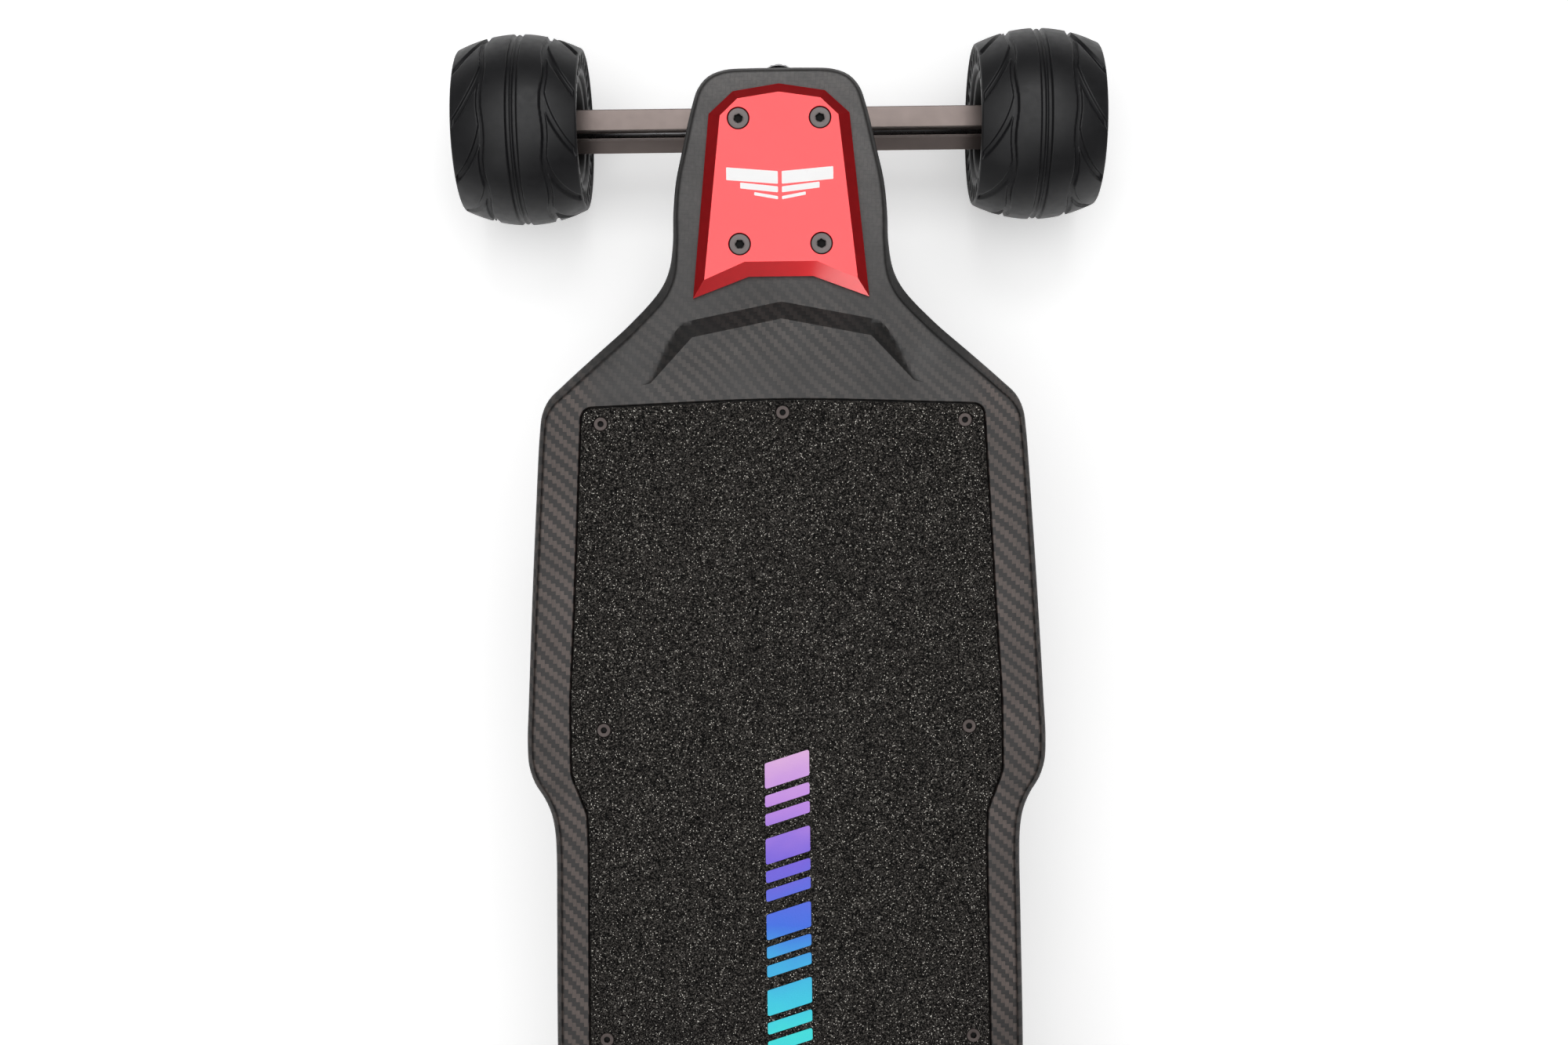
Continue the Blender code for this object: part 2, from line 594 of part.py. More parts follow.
def pulley_profile(radius, bore):
    """A flanged pulley as (radius, x) points for the belt's width, without its closing side."""
    low, high = BELT_X[0] - FIT, BELT_X[1] + FIT
    edge = radius + FLANGE
    return [(bore, high + 1.4), (edge, high + 1.4), (edge, high), (radius, high), (radius, low),
            (edge, low), (edge, low - 1.4), (bore, low - 1.4)]


def loop_outline(big, small, span, steps=18):
    """The (y, z) outline of a belt round two pulleys, the big one at y = 0, the small at y = span."""
    lean = math.asin((big - small) / span)
    around = []
    for step in range(steps + 1):
        angle = math.pi / 2 - lean + (math.pi + 2 * lean) * step / steps
        around.append((big * math.cos(angle), big * math.sin(angle)))
    for step in range(steps + 1):
        angle = lean - math.pi / 2 + (math.pi - 2 * lean) * step / steps
        around.append((span + small * math.cos(angle), small * math.sin(angle)))
    return around


def build_drive(prefix, truck, side):
    """One motor on its mount, with its belt to the wheel; side is +1 or -1 in the truck's X."""
    span = -BELT_CENTRES
    motor_y = AXLE_Y + span

    def across(item, y=motor_y):
        return along_x(item, 0, y, AXLE_Z, side)

    def flat(name, outline, low, high, finish, cutter=False):
        ends = sorted((side * low, side * high))
        placed = [(AXLE_Y - y, AXLE_Z + z) for y, z in outline]
        return extruded(name, placed, *ends, finish, truck, cutter=cutter, upright=True)

    plate = flat(prefix + "_motor_mount", loop_outline(22, 30, BELT_CENTRES), *MOUNT_X, BLACK_METAL)
    opening = [(-y, z) for y, z in offset_outline(BEAM, FIT + 0.1)]
    window = flat(prefix + "_mount_window", opening, 80, 100, BLACK_METAL, cutter=True)
    cut(plate, window)
    shaft_hole = cylinder(prefix + "_shaft_hole", 8, 80, 100, BLACK_METAL, truck)
    cut(plate, across(shaft_hole))
    low, high = MOTOR_BASE_X
    across(turned(prefix + "_motor_base", [(SHAFT_RADIUS + 1, high), (26, high), (27, high - 1.5),
                                           (27, low), (SHAFT_RADIUS + 1, low)], BLACK_METAL, truck))
    rotor = pivot(prefix + "_rotor", (0, motor_y, AXLE_Z), parent=truck)
    low, high = MOTOR_X
    can = turned(prefix + "_motor_can", [(0, BELT_X[1] + 1.5), (SHAFT_RADIUS, BELT_X[1] + 1.5),
                                         (SHAFT_RADIUS, high), (MOTOR_RADIUS - 1.5, high),
                                         (MOTOR_RADIUS, high - 1.5), (MOTOR_RADIUS, low + 3),
                                         (MOTOR_RADIUS - 3, low), (0, low)],
                 BLACK_METAL, rotor, ring=False)
    along_x(can, 0, 0, 0, side)
    small = turned(prefix + "_motor_pulley", pulley_profile(MOTOR_PULLEY_RADIUS, SHAFT_RADIUS + FIT),
                   STEEL, rotor)
    along_x(small, 0, 0, 0, side)
    profile = pulley_profile(WHEEL_PULLEY_RADIUS, 17.5)
    collar = [(17.5, WHEEL_X - 4.3), (24.8, WHEEL_X - 4.3), (24.8, profile[0][1])]
    across(turned(prefix + "_wheel_pulley", collar + profile[1:], STEEL, truck), AXLE_Y)
    inside = loop_outline(WHEEL_PULLEY_RADIUS + FIT, MOTOR_PULLEY_RADIUS + FIT, BELT_CENTRES)
    outside = loop_outline(WHEEL_PULLEY_RADIUS + BELT_THICKNESS, MOTOR_PULLEY_RADIUS + BELT_THICKNESS,
                           BELT_CENTRES)
    belt = flat(prefix + "_drive_belt", outside, *BELT_X, BELT_RUBBER)
    cut(belt, flat(prefix + "_belt_inside", inside, 90, 112, BELT_RUBBER, cutter=True))


# ---------------------------------------------------------------- the board

build_deck_shell()
build_lid()
build_truck_cover("front_truck_cover", 1)
build_truck_cover("rear_truck_cover", -1)
build_electronics()
build_charge_socket()
build_power_button()
build_truck("front", 0)
rear_truck = build_truck("rear", math.pi)
for place, wheel_x, wheel_y in (("front_left", -WHEEL_X, AXLE_Y), ("front_right", WHEEL_X, AXLE_Y),
                                ("rear_left", -WHEEL_X, -AXLE_Y), ("rear_right", WHEEL_X, -AXLE_Y)):
    build_wheel(place, wheel_x, wheel_y)
build_drive("left", rear_truck, 1)
build_drive("right", rear_truck, -1)
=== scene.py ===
"""Looks of the electric skateboard: carbon deck, grit lid, red truck covers, trucks, wheels and drive.

Lengths are in millimetres and turned into metres by MM, in the frame's own axes: +X right,
+Y towards the nose, +Z up, the ground at z = 0 under the middle of the board. Only the lights
and the camera are placed in metres.
"""
import math

import bmesh
import bpy
import numpy as np
from mathutils import Matrix, Vector
from mathutils.geometry import delaunay_2d_cdt


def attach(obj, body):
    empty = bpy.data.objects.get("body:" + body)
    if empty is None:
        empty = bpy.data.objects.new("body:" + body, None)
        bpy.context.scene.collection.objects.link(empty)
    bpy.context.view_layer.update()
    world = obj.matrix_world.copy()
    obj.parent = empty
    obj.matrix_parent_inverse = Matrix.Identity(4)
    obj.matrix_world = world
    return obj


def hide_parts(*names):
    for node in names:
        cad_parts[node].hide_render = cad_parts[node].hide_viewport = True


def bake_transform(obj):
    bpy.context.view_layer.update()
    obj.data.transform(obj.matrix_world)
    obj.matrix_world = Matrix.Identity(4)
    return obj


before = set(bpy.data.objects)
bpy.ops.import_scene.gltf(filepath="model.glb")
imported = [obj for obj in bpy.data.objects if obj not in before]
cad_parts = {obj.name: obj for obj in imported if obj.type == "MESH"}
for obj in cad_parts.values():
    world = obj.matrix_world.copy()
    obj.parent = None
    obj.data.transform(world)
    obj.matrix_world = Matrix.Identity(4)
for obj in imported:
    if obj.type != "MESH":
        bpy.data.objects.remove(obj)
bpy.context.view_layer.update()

MM = 0.001
WELD = 2e-6                     # metres between points that become one
RANDOM = np.random.default_rng(7)

# Deck
DECK_OUTLINE = [(0, 491.6), (14, 491.6), (28, 490.8), (36, 487.6), (41.3, 481.5), (44.4, 472.5),
                (49.6, 450), (53, 434), (54.5, 418), (55, 402), (57.2, 389), (62.4, 378.5),
                (76.7, 363), (94.3, 347), (111.6, 331), (118.6, 324), (122, 316.5), (123.4, 306),
                (125.8, 267), (128.4, 218), (130.6, 170), (131.4, 150), (130.7, 138), (127.9, 129.4),
                (123, 121.5), (119.6, 113.5), (117.9, 104), (117.4, 92), (117.6, 60), (118, 0)]
NOSE_TOP = 146.0
NOSE_BOTTOM = 133.0
PLATFORM_TOP = 150.5
PLATFORM_BOTTOM = 108.0
SIDE_RISE = (361.0, 326.0)      # y where the shoulders climb from the nose to the platform
BOTTOM_DROP = (374.0, 332.0)    # y where the underside drops to the platform's
PANEL_EDGE = [(66.6, 331), (45.3, 354), (0, 363)]
PANEL_SLOPE = 0.5
LEDGE = 145.0                   # where the lid's seal lies
WALL = 4.0
TOW_WIDTH = 2.05                # of one bundle of fibres in the carbon's weave
BOLT_HOLE = 3.2                 # radii of the holes for the truck bolts and the button
BUTTON_SEAT = 6.3

# Trucks: s runs up and forward along a pivot, t down and forward, both at 45 degrees
INNER_CENTRE = (437.6, 94.9)
OUTER_S = 28.0
OUTER_T = 46.0
KINGPIN_RADIUS = 5.0
PIVOT_RADIUS = 6.0
BUSHING_RADIUS = 13.5
BUSHING_TIP = 10.6
WASHER_RADIUS = 11.0
NUT_FLAT = 7.4
BASE_TOP = 132.7
RING_RADIUS = 15.4
RING_HALF = 4.9
SIDE_PLATE = 12.9               # half the width of the baseplate's web and of the arm
CAST_EDGE = 0.9                 # the castings' rounding
THROUGH_PLATE = (110, 140)      # heights that a cut through the baseplate runs between
HANGER_HALF = 14.8
BEAM_END = 116.5
BEAM = [(-12, -7), (-9, -11), (8, -11), (10.5, -8), (10.5, 4), (8.3, 7), (8.3, 12.5),
        (-3.1, 12.5), (-3.1, 5), (-6.3, 5), (-6.3, 0)]
AXLE_END = 171.0

# Drive
BELT_CENTRES = 84.0             # from the axle to the motor's shaft
WHEEL_TEETH = 38
MOTOR_TEETH = 16
TOOTH_PITCH = 5.13
WHEEL_PULLEY_RADIUS = WHEEL_TEETH * TOOTH_PITCH / math.tau
MOTOR_PULLEY_RADIUS = MOTOR_TEETH * TOOTH_PITCH / math.tau
BELT_X = (96.3, 106.0)
BELT_THICKNESS = 2.2
MOTOR_X = (30.0, 80.5)
CAN_RADIUS = 28.0
CAN_FRONT = 3.0
CAN_VENTS = 6
MOTOR_BASE_X = (81.0, 86.7)
MOUNT_X = (87.0, 92.0)
MOUNT_SCREWS = 4
MOUNT_SCREW_CIRCLE = 16
SHAFT_RADIUS = 4.0
COILS = 12
COIL_CIRCLE = 18.2

# Socket and button
SOCKET_FACE = 118.2
SOCKET_Y = -60.0
SOCKET_Z = 131.0
BUTTON_Y = -286.0

# Wheels
TYRE_RADIUS = 52.3
AXLE_Y = 482.0
AXLE_Z = 52.5 * math.cos(math.pi / 36)
MOTOR_Y = AXLE_Y - BELT_CENTRES
WHEEL_X = 143.0
CORE_RADIUS = 30.0
BEARING_OFFSET = 14.5
BEARING_HALF = 3.5
SPOKES = 6
SPOKE_TURN = 7.5                # degrees, of the middle of the first window
WEB_HALF = 4.5
WEB_RADII = (14.8, 25.8)        # from the hub to the rim
CELLS = 30
CELL_MIDDLE = 37.5              # the cells' radius, half length, half width and depth
CELL_HALF_LENGTH = 3.55
CELL_HALF_WIDTH = 2.1
CELL_DEPTH = 11.0
TREAD_HALF = 33.4
TREAD_REPEATS = 9
TREAD_TURNS = {1: 10.0, -1: 24.0}

# Lid and covers: outline corners as (x, y, corner radius)
LID_QUARTER = [(0, 322.3, 900), (101.2, 318.4, 6), (106.1, 215, 300), (108.5, 170, 90),
               (108.5, 134, 16), (100.6, 114, 16), (100, 96, 40), (100.6, 0, 0)]
CAVITY_QUARTER = [(0, 312, 900), (93, 309, 8), (98, 215, 300), (100, 176, 90), (100, 138, 16),
                  (92.5, 118, 16), (92, 96, 40), (92, 0, 0)]
LID_TOP = 150.8
LID_LOW = 146.4
LID_GAP = 0.7
COVER_EDGE = [(0, 482.2), (23.3, 478.5), (35.7, 467.1), (44.6, 373.8), (16.3, 384.5)]
COVER_TOP_EDGE = [(0, 477.2), (21, 474), (29.9, 465.5), (38.7, 382.8), (18.2, 391.7)]
COVER_LOW, COVER_EDGE_TOP, COVER_TOP = 146.3, 148.6, 151.8
COVER_SEAT = 5.75               # radii of the screws' seats
LID_SEAT = 4.0
BOLT_X = 20.65
BOLT_Y = (400.6, 464.1)
LID_SCREWS = [(92, 310.8), (92.2, 156.2), (92.5, 0)]
LID_END_SCREW = 315.6

# Printed marks
FOIL_RUN = (142.0, -146.0)
FOIL_WIDTH = 22.5
FOIL_LEAN = 7.0
FOIL_BARS = ((13.0, 3.4), (6.0, 3.4), (6.0, 6.4))                       # height, gap after it
STRIPES_Y = 429.0
STRIPE_LEAN = 2.2
STRIPES = ((26, 6.4, 6.0), (19, 3.0, 0.0), (12, 1.6, -4.2))             # width, height, how far ahead

# Light, as radiance where the floor's white is 1; places and sizes in metres
HORIZON = 0.06
ZENITH = 0.62
FLOOR_SIZE = 14
FLOOR_GLOW = 0.34
FLOOR_WHITE = 0.40
SOFTBOXES = (("overhead", (0.0, 0.45, 2.2), (0, 0.42, 0), 2.8, 2.1, 1.22),
             ("tail_left", (-0.74, -1.22, 1.6), (0, 0.35, 0.1), 0.7, 0.9, 2.3),
             ("nose", (0.1, 1.75, 2.1), (0, 0.4, 0.1), 1.2, 0.5, 4.5))
CAMERA_PLACE = (0.0, 0.260, 1.010)
CAMERA_TURN = -0.7
CAMERA_LENS = 39.1


# ---------------------------------------------------------------- outlines

def smooth_path(points, spacing, closed=True):
    """Points about a spacing apart on a smooth curve through the given (x, y) points."""
    knots = np.array(points, float)
    if closed:
        knots = np.concatenate([knots[-1:], knots, knots[:2]])
    else:
        knots = np.concatenate([2 * knots[:1] - knots[1:2], knots, 2 * knots[-1:] - knots[-2:-1]])
    out = []
    for a, b, c, d in zip(knots, knots[1:], knots[2:], knots[3:]):
        spans = [np.linalg.norm(span) for span in (b - a, c - b, d - c)]
        root = [math.sqrt(max(span, 1e-6)) for span in spans]
        m1 = (c - b) + root[1] * ((b - a) / root[0] - (c - a) / (root[0] + root[1]))
        m2 = (c - b) + root[1] * ((d - c) / root[2] - (d - b) / (root[1] + root[2]))
        steps = max(1, round(spans[1] / spacing))
        for f in np.arange(steps) / steps:
            out.append((2 * f ** 3 - 3 * f ** 2 + 1) * b + (f ** 3 - 2 * f ** 2 + f) * m1
                       + (3 * f ** 2 - 2 * f ** 3) * c + (f ** 3 - f ** 2) * m2)
    return np.array(out if closed else [*out, knots[-2]])


def rounded_path(corners, spacing):
    """A closed outline whose (x, y, radius) corners are arcs, with points a spacing apart."""
    knots = [Vector(corner[:2]) for corner in corners]
    ends = []
    for index, corner in enumerate(knots):
        before, after = knots[index - 1], knots[(index + 1) % len(knots)]
        into, out = (corner - before), (after - corner)
        turn = into.angle(out, 0)
        reach = min(corners[index][2] * math.tan(turn / 2), into.length * 0.49, out.length * 0.49)
        ends.append((corner - into.normalized() * reach, corner + out.normalized() * reach, reach, turn))
    path = []
    for index, (start, stop, reach, turn) in enumerate(ends):
        arc = max(1, round(2 * reach / spacing)) if reach > 0.01 else 0
        arc = max(arc, round(math.degrees(turn) / 9)) if arc else 0
        for step in range(arc + 1):
            f = step / max(arc, 1)
            path.append(start * (1 - f) ** 2 + knots[index] * 2 * f * (1 - f) + stop * f * f)
        following = ends[(index + 1) % len(ends)][0]
        straight = max(1, round((following - stop).length / spacing))
        for step in range(1, straight):
            path.append(stop.lerp(following, step / straight))
    return np.array([tuple(point) for point in path])


def rounded(corners, radius, spacing=3.0):
    """A closed outline whose corners all have one radius."""
    return rounded_path([(x, y, radius) for x, y in corners], spacing)


def four_fold(quarter):
    """A quarter outline from x = 0 round to y = 0, made whole."""
    right = [tuple(point) for point in quarter]
    lower = [(p[0], -p[1], *p[2:]) for p in reversed(right[:-1])]
    left = [(-p[0], *p[1:]) for p in reversed((right + lower)[1:-1])]
    return list(reversed(right + lower + left))


def two_fold(half):
    """A half outline whose first point is on x = 0, made whole."""
    return [(-p[0], *p[1:]) for p in half[1:]] + list(reversed(half))


def dense(line, spacing=2.5):
    """A line of points with more of them along its longer stretches."""
    line = np.asarray(line, float)
    points = []
    for first, second in zip(line, line[1:]):
        count = max(1, round(math.dist(first, second) / spacing))
        points += [first + (second - first) * step / count for step in range(count)]
    return np.array(points + [line[-1]])


def inset(path, distance):
    """Move a dense counter-clockwise path inwards by a distance, or outwards below zero."""
    steps = (np.roll(path, -1, 0) - path, path - np.roll(path, 1, 0))
    along = sum(step / np.linalg.norm(step, axis=1)[:, None] for step in steps)
    along /= np.linalg.norm(along, axis=1)[:, None]
    distance = np.asarray(distance, float).reshape(-1, 1)
    return path + np.stack([-along[:, 1], along[:, 0]], 1) * distance


def circle(x, y, radius, steps=32, turn=0.0):
    """A closed circle, counter-clockwise."""
    angles = turn + np.arange(steps) * math.tau / steps
    return np.stack([x + radius * np.cos(angles), y + radius * np.sin(angles)], 1)


def nut_outline(flat, steps=72):
    """A hexagon as a dense path, so that its points match a circle's."""
    angles = np.arange(steps) * math.tau / steps
    reach = flat / np.cos(angles % (math.pi / 3) - math.pi / 6)
    return np.stack([np.cos(angles) * reach, np.sin(angles) * reach], 1)


def spoke_axes(angle):
    """The directions outwards and across at an angle round a centre."""
    out = np.array([math.cos(angle), math.sin(angle)])
    return out, np.array([-out[1], out[0]])


def sector(inner, outer, start, stop, radius):
    """A window with rounded corners between two radii and two angles."""
    corners = [(inner, start, radius), (outer, start, radius), (outer, (start + stop) / 2, outer),
               (outer, stop, radius), (inner, stop, radius)]
    return rounded_path([(r * math.cos(angle), r * math.sin(angle), fillet) for r, angle, fillet in corners],
                        1.2)


def inside(points, loop):
    """Whether each point lies in a closed loop."""
    x, y = points[:, 0], points[:, 1]
    result = np.zeros(len(points), bool)
    for (x1, y1), (x2, y2) in zip(loop, np.roll(loop, -1, 0)):
        if y1 != y2:
            crosses = (y1 > y) != (y2 > y)
            result ^= crosses & (x < (x2 - x1) * (y - y1) / (y2 - y1) + x1)
    return result


def fill_flat(outer, holes=(), creases=(), inner_points=()):
    """Triangles that fill an outline around its holes: returns (x, y) points and faces."""
    points, edges = [], []
    loops = [(loop, True) for loop in (outer, *holes)] + [(crease, False) for crease in creases]
    for loop, closed in loops:
        start, count = len(points), len(loop)
        points += [Vector((float(x), float(y))) for x, y in loop]
        edges += [(start + i, start + (i + 1) % count) for i in range(count if closed else count - 1)]
    points += [Vector((float(x), float(y))) for x, y in inner_points]
    found, _, faces, _, _, _ = delaunay_2d_cdt(points, edges, [], 0, 1e-5)
    flat = np.array([tuple(point) for point in found])
    middles = np.array([flat[list(face)].mean(0) for face in faces])
    keep = inside(middles, np.asarray(outer))
    for hole in holes:
        keep &= ~inside(middles, np.asarray(hole))
    return flat, [tuple(face) for face, kept in zip(faces, keep) if kept]


def at_height(path, z):
    """A flat path lifted to a height, or to one height for each point."""
    heights = np.broadcast_to(np.asarray(z, float), len(path))
    return np.column_stack([path, heights])


def ramp(at, start, end):
    """0 at start and 1 at end, eased at both."""
    f = np.clip((np.asarray(at, float) - start) / (end - start), 0, 1)
    return f * f * (3 - 2 * f)


# ---------------------------------------------------------------- meshes and pieces

class Shell:
    """Vertices and faces in millimetres, gathered from fills and walls and welded at the end."""

    def __init__(self):
        self.vertices = []
        self.faces = []

    def add(self, vertices, faces):
        start = len(self.vertices)
        self.vertices += [tuple(vertex) for vertex in vertices]
        self.faces += [tuple(start + index for index in face) for face in faces]
        return self

    def flat(self, outer, z, holes=(), creases=(), inner_points=()):
        """A filled outline at a height, or at heights from a function of x and y."""
        points, faces = fill_flat(outer, holes, creases, inner_points)
        return self.add(at_height(points, z(points[:, 0], points[:, 1]) if callable(z) else z), faces)

    def rings(self, *rings):
        """Quads between closed rings of (x, y, z) points that match one for one."""
        for ring, following in zip(rings, rings[1:]):
            count = len(ring)
            faces = [(i, (i + 1) % count, count + (i + 1) % count, count + i) for i in range(count)]
            self.add([*ring, *following], faces)
        return self

    def wall(self, *levels):
        """Quads between closed outlines that match one for one, each given with its height."""
        return self.rings(*[at_height(path, z) for path, z in levels])

    def solid(self, path, low, high):
        """An outline made solid between two heights."""
        return self.wall((path, low), (path, high)).flat(path, low).flat(path, high)

    def turned(self, profile, steps=72):
        """A (radius, height) profile turned round Z; radius 0 closes an end on the axis."""
        rings = [at_height(circle(0, 0, radius, steps), height) for radius, height in profile]
        if profile[0][0] and profile[-1][0]:
            rings.append(rings[0])
        return self.rings(*rings)

    def upright(self):
        """Turn x and y to the board's y and z, and height to its x."""
        self.vertices = [(z, x, y) for x, y, z in self.vertices]
        return self


def place_at(x, y, z, turn=0.0, axis='Z'):
    """A place in millimetres, turned about one axis."""
    return Matrix.Translation(Vector((x, y, z)) * MM) @ Matrix.Rotation(turn, 4, axis)


def along_x(x, y, z, side=1):
    """A place with Z turned to the board's X, outwards on the given side."""
    return place_at(x, y, z, side * math.pi / 2, 'Y')


UNMOVED = Matrix.Identity(4)
TAIL_END = place_at(0, 0, 0, math.pi)


def new_object(name, data):
    """An object in the scene, at the origin."""
    made = bpy.data.objects.new(name, data)
    bpy.context.scene.collection.objects.link(made)
    return made


def finish_with(mesh, finish):
    """Give a mesh one material in place of any that it has."""
    mesh.materials.clear()
    mesh.materials.append(finish)


def smoothed(mesh, sharp):
    """Smooth shading, with edges sharp above an angle."""
    mesh.shade_smooth()
    mesh.set_sharp_from_angle(angle=math.radians(sharp))
    return mesh


def welded(shell, finish, sharp=32.0, place=UNMOVED):
    """A mesh from a shell, welded, with its normals outwards, moved to a place."""
    mesh = bpy.data.meshes.new("solid")
    vertices = [tuple(float(value) * MM for value in vertex) for vertex in shell.vertices]
    mesh.from_pydata(vertices, [], shell.faces)
    shape = bmesh.new()
    shape.from_mesh(mesh)
    bmesh.ops.remove_doubles(shape, verts=shape.verts, dist=WELD)
    bmesh.ops.recalc_face_normals(shape, faces=shape.faces)
    shape.to_mesh(mesh)
    shape.free()
    mesh.materials.append(finish)
    mesh.transform(place)
    return smoothed(mesh, sharp)


def prism(outline, low, high, finish, upright=True):
    """A flat outline made solid: (x, y) along Z, or upright (y, z) along X."""
    shell = Shell().solid(np.array(outline, float), low, high)
    return welded(shell.upright() if upright else shell, finish)


def lathe(profile, finish, place, steps=64, sharp=32.0):
    """A (radius, height) profile turned round a place's Z."""
    return welded(Shell().turned(profile, steps), finish, sharp, place)


def rod(radius, low, high, finish, place, steps=64):
    """A cylinder between two heights on a place's Z."""
    return lathe([(0, low), (radius, low), (radius, high), (0, high)], finish, place, steps)


def fused(solids, cuts, finish, rounding, sharp=32.0):
    """Solids joined and cut into one mesh whose edges are then rounded."""
    holders = [new_object("holder", mesh) for mesh in [*solids, *cuts]]
    base = holders[0]
    for index, holder in enumerate(holders[1:], start=1):
        step = base.modifiers.new("join_or_cut", 'BOOLEAN')
        step.operation = 'UNION' if index < len(solids) else 'DIFFERENCE'
        step.object = holder
        step.solver = 'EXACT'
    if rounding:
        add_bevel(base, rounding, 28)
    bpy.context.view_layer.update()
    mesh = bpy.data.meshes.new_from_object(base.evaluated_get(bpy.context.evaluated_depsgraph_get()))
    for holder in holders:
        bpy.data.objects.remove(holder)
    finish_with(mesh, finish)
    return smoothed(mesh, sharp)


def add_bevel(made, width, angle):
    """Round the edges of an object that are sharper than an angle."""
    bevel = made.modifiers.new("rounded_edges", 'BEVEL')
    bevel.width = width * MM
    bevel.segments = 3
    bevel.limit_method = 'ANGLE'
    bevel.angle_limit = math.radians(angle)


def piece(name, mesh, body, replaces=(), place=UNMOVED):
    """A mesh at a place as a piece that rides on a body, or is left free if the body is None."""
    made = new_object(name, mesh)
    made.matrix_world = place
    if body:
        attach(made, body)
    if replaces:
        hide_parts(*replaces)
    return made


def part(prefix, name, mesh, body, node=None, place=UNMOVED):
    """A piece named by its end, side or corner, which may stand for the CAD node named in the same way."""
    return piece(f"{prefix}_{name}", mesh, body, (f"{prefix}_{node}",) if node else (), place)


# ---------------------------------------------------------------- materials

class Nodes:
    """Adds and links the shader nodes of a material or a world."""

    def __init__(self, owner):
        owner.use_nodes = True
        self.owner = owner
        self.tree = owner.node_tree
        self.shader = self.tree.nodes.get("Principled BSDF")

    def new(self, kind, *links, **settings):
        """Add a node; settings set its properties, and links feed its inputs in order."""
        node = self.tree.nodes.new("ShaderNode" + kind)
        for key, value in settings.items():
            setattr(node, key, value)
        for index, source in enumerate(links):
            self.feed(node.inputs[index], source)
        return node

    def feed(self, socket, source):
        """Link an output to a socket, or set the socket to a value."""
        if isinstance(source, bpy.types.NodeSocket):
            self.tree.links.new(source, socket)
        elif source is not None:
            socket.default_value = source

    def math(self, operation, first, second=None):
        return self.new("Math", first, second, operation=operation).outputs[0]

    def add(self, first, second):
        return self.math('ADD', first, second)

    def sub(self, first, second):
        return self.math('SUBTRACT', first, second)

    def mul(self, first, second):
        return self.math('MULTIPLY', first, second)

    def split(self, vector):
        """The x, y and z of a vector."""
        return self.new("SeparateXYZ", vector).outputs

    def stretched(self, vector, x, y, z):
        """A vector scaled by a factor on each axis."""
        return self.new("VectorMath", vector, (x, y, z), operation='MULTIPLY').outputs[0]

    def position(self):
        """The piece's own coordinates, which match the frame's, in millimetres."""
        return self.stretched(self.new("TexCoord").outputs["Object"], 1 / MM, 1 / MM, 1 / MM)

    def noise(self, vector, scale, detail=2.0, rough=0.5):
        """Noise round 0.5, its scale in features per millimetre."""
        node = self.new("TexNoise")
        for key, value in (("Vector", vector), ("Scale", scale), ("Detail", detail), ("Roughness", rough)):
            self.feed(node.inputs[key], value)
        return node.outputs["Fac"]

    def mixed(self, factor, first, second, data_type='RGBA', **settings):
        """A mix of two outputs, colours or numbers."""
        node = self.new("Mix", data_type=data_type, **settings)
        for key, value in (("Factor", factor), ("A", first), ("B", second)):
            self.feed(node.inputs[key], (*value, 1) if isinstance(value, tuple) else value)
        return node.outputs["Result"]

    def blend(self, factor, first, second):
        """A colour between two colours or colour outputs."""
        return self.mixed(factor, first, second)

    def either(self, flag, yes, no):
        """One value where a flag is 1, and another where it is 0."""
        return self.mixed(flag, no, yes, data_type='FLOAT')

    def scaled(self, colour, factor):
        """A colour multiplied by a value or by another colour."""
        return self.mixed(1.0, colour, factor, blend_type='MULTIPLY')

    def spread(self, value, low, high, to_low, to_high, **settings):
        """A value moved from one range to another, held at its ends."""
        return self.new("MapRange", value, low, high, to_low, to_high, **settings).outputs[0]

    def varied(self, vector, scale, low, high, detail=4.0, rough=0.5):
        """Noise between two values."""
        return self.spread(self.noise(vector, scale, detail, rough), 0.3, 0.7, low, high)

    def bump(self, height, distance, strength=0.5, normal=None):
        """A bump whose height is in millimetres once scaled by distance."""
        node = self.new("Bump")
        for key, value in (("Strength", strength), ("Distance", distance * MM), ("Height", height),
                           ("Normal", normal)):
            self.feed(node.inputs[key], value)
        return node.outputs["Normal"]

    def finish(self, colour, roughness, normal=None, metallic=0.0, **constants):
        """Set the surface and return its material; constants name sockets that have one value all over."""
        for key, value in (("Base Color", colour), ("Roughness", roughness), ("Normal", normal)):
            self.feed(self.shader.inputs[key], (*value, 1) if isinstance(value, tuple) else value)
        self.shader.inputs["Metallic"].default_value = metallic
        for key, value in constants.items():
            self.shader.inputs[key.replace("_", " ")].default_value = value
        return self.owner


def new_material(name):
    return Nodes(bpy.data.materials.new(name))


def srgb(red, green, blue):
    """A display colour of 0 to 255 as linear values."""
    return tuple((value / 255 / 12.92) if value < 10.3 else ((value / 255 + 0.055) / 1.055) ** 2.4
                 for value in (red, green, blue))


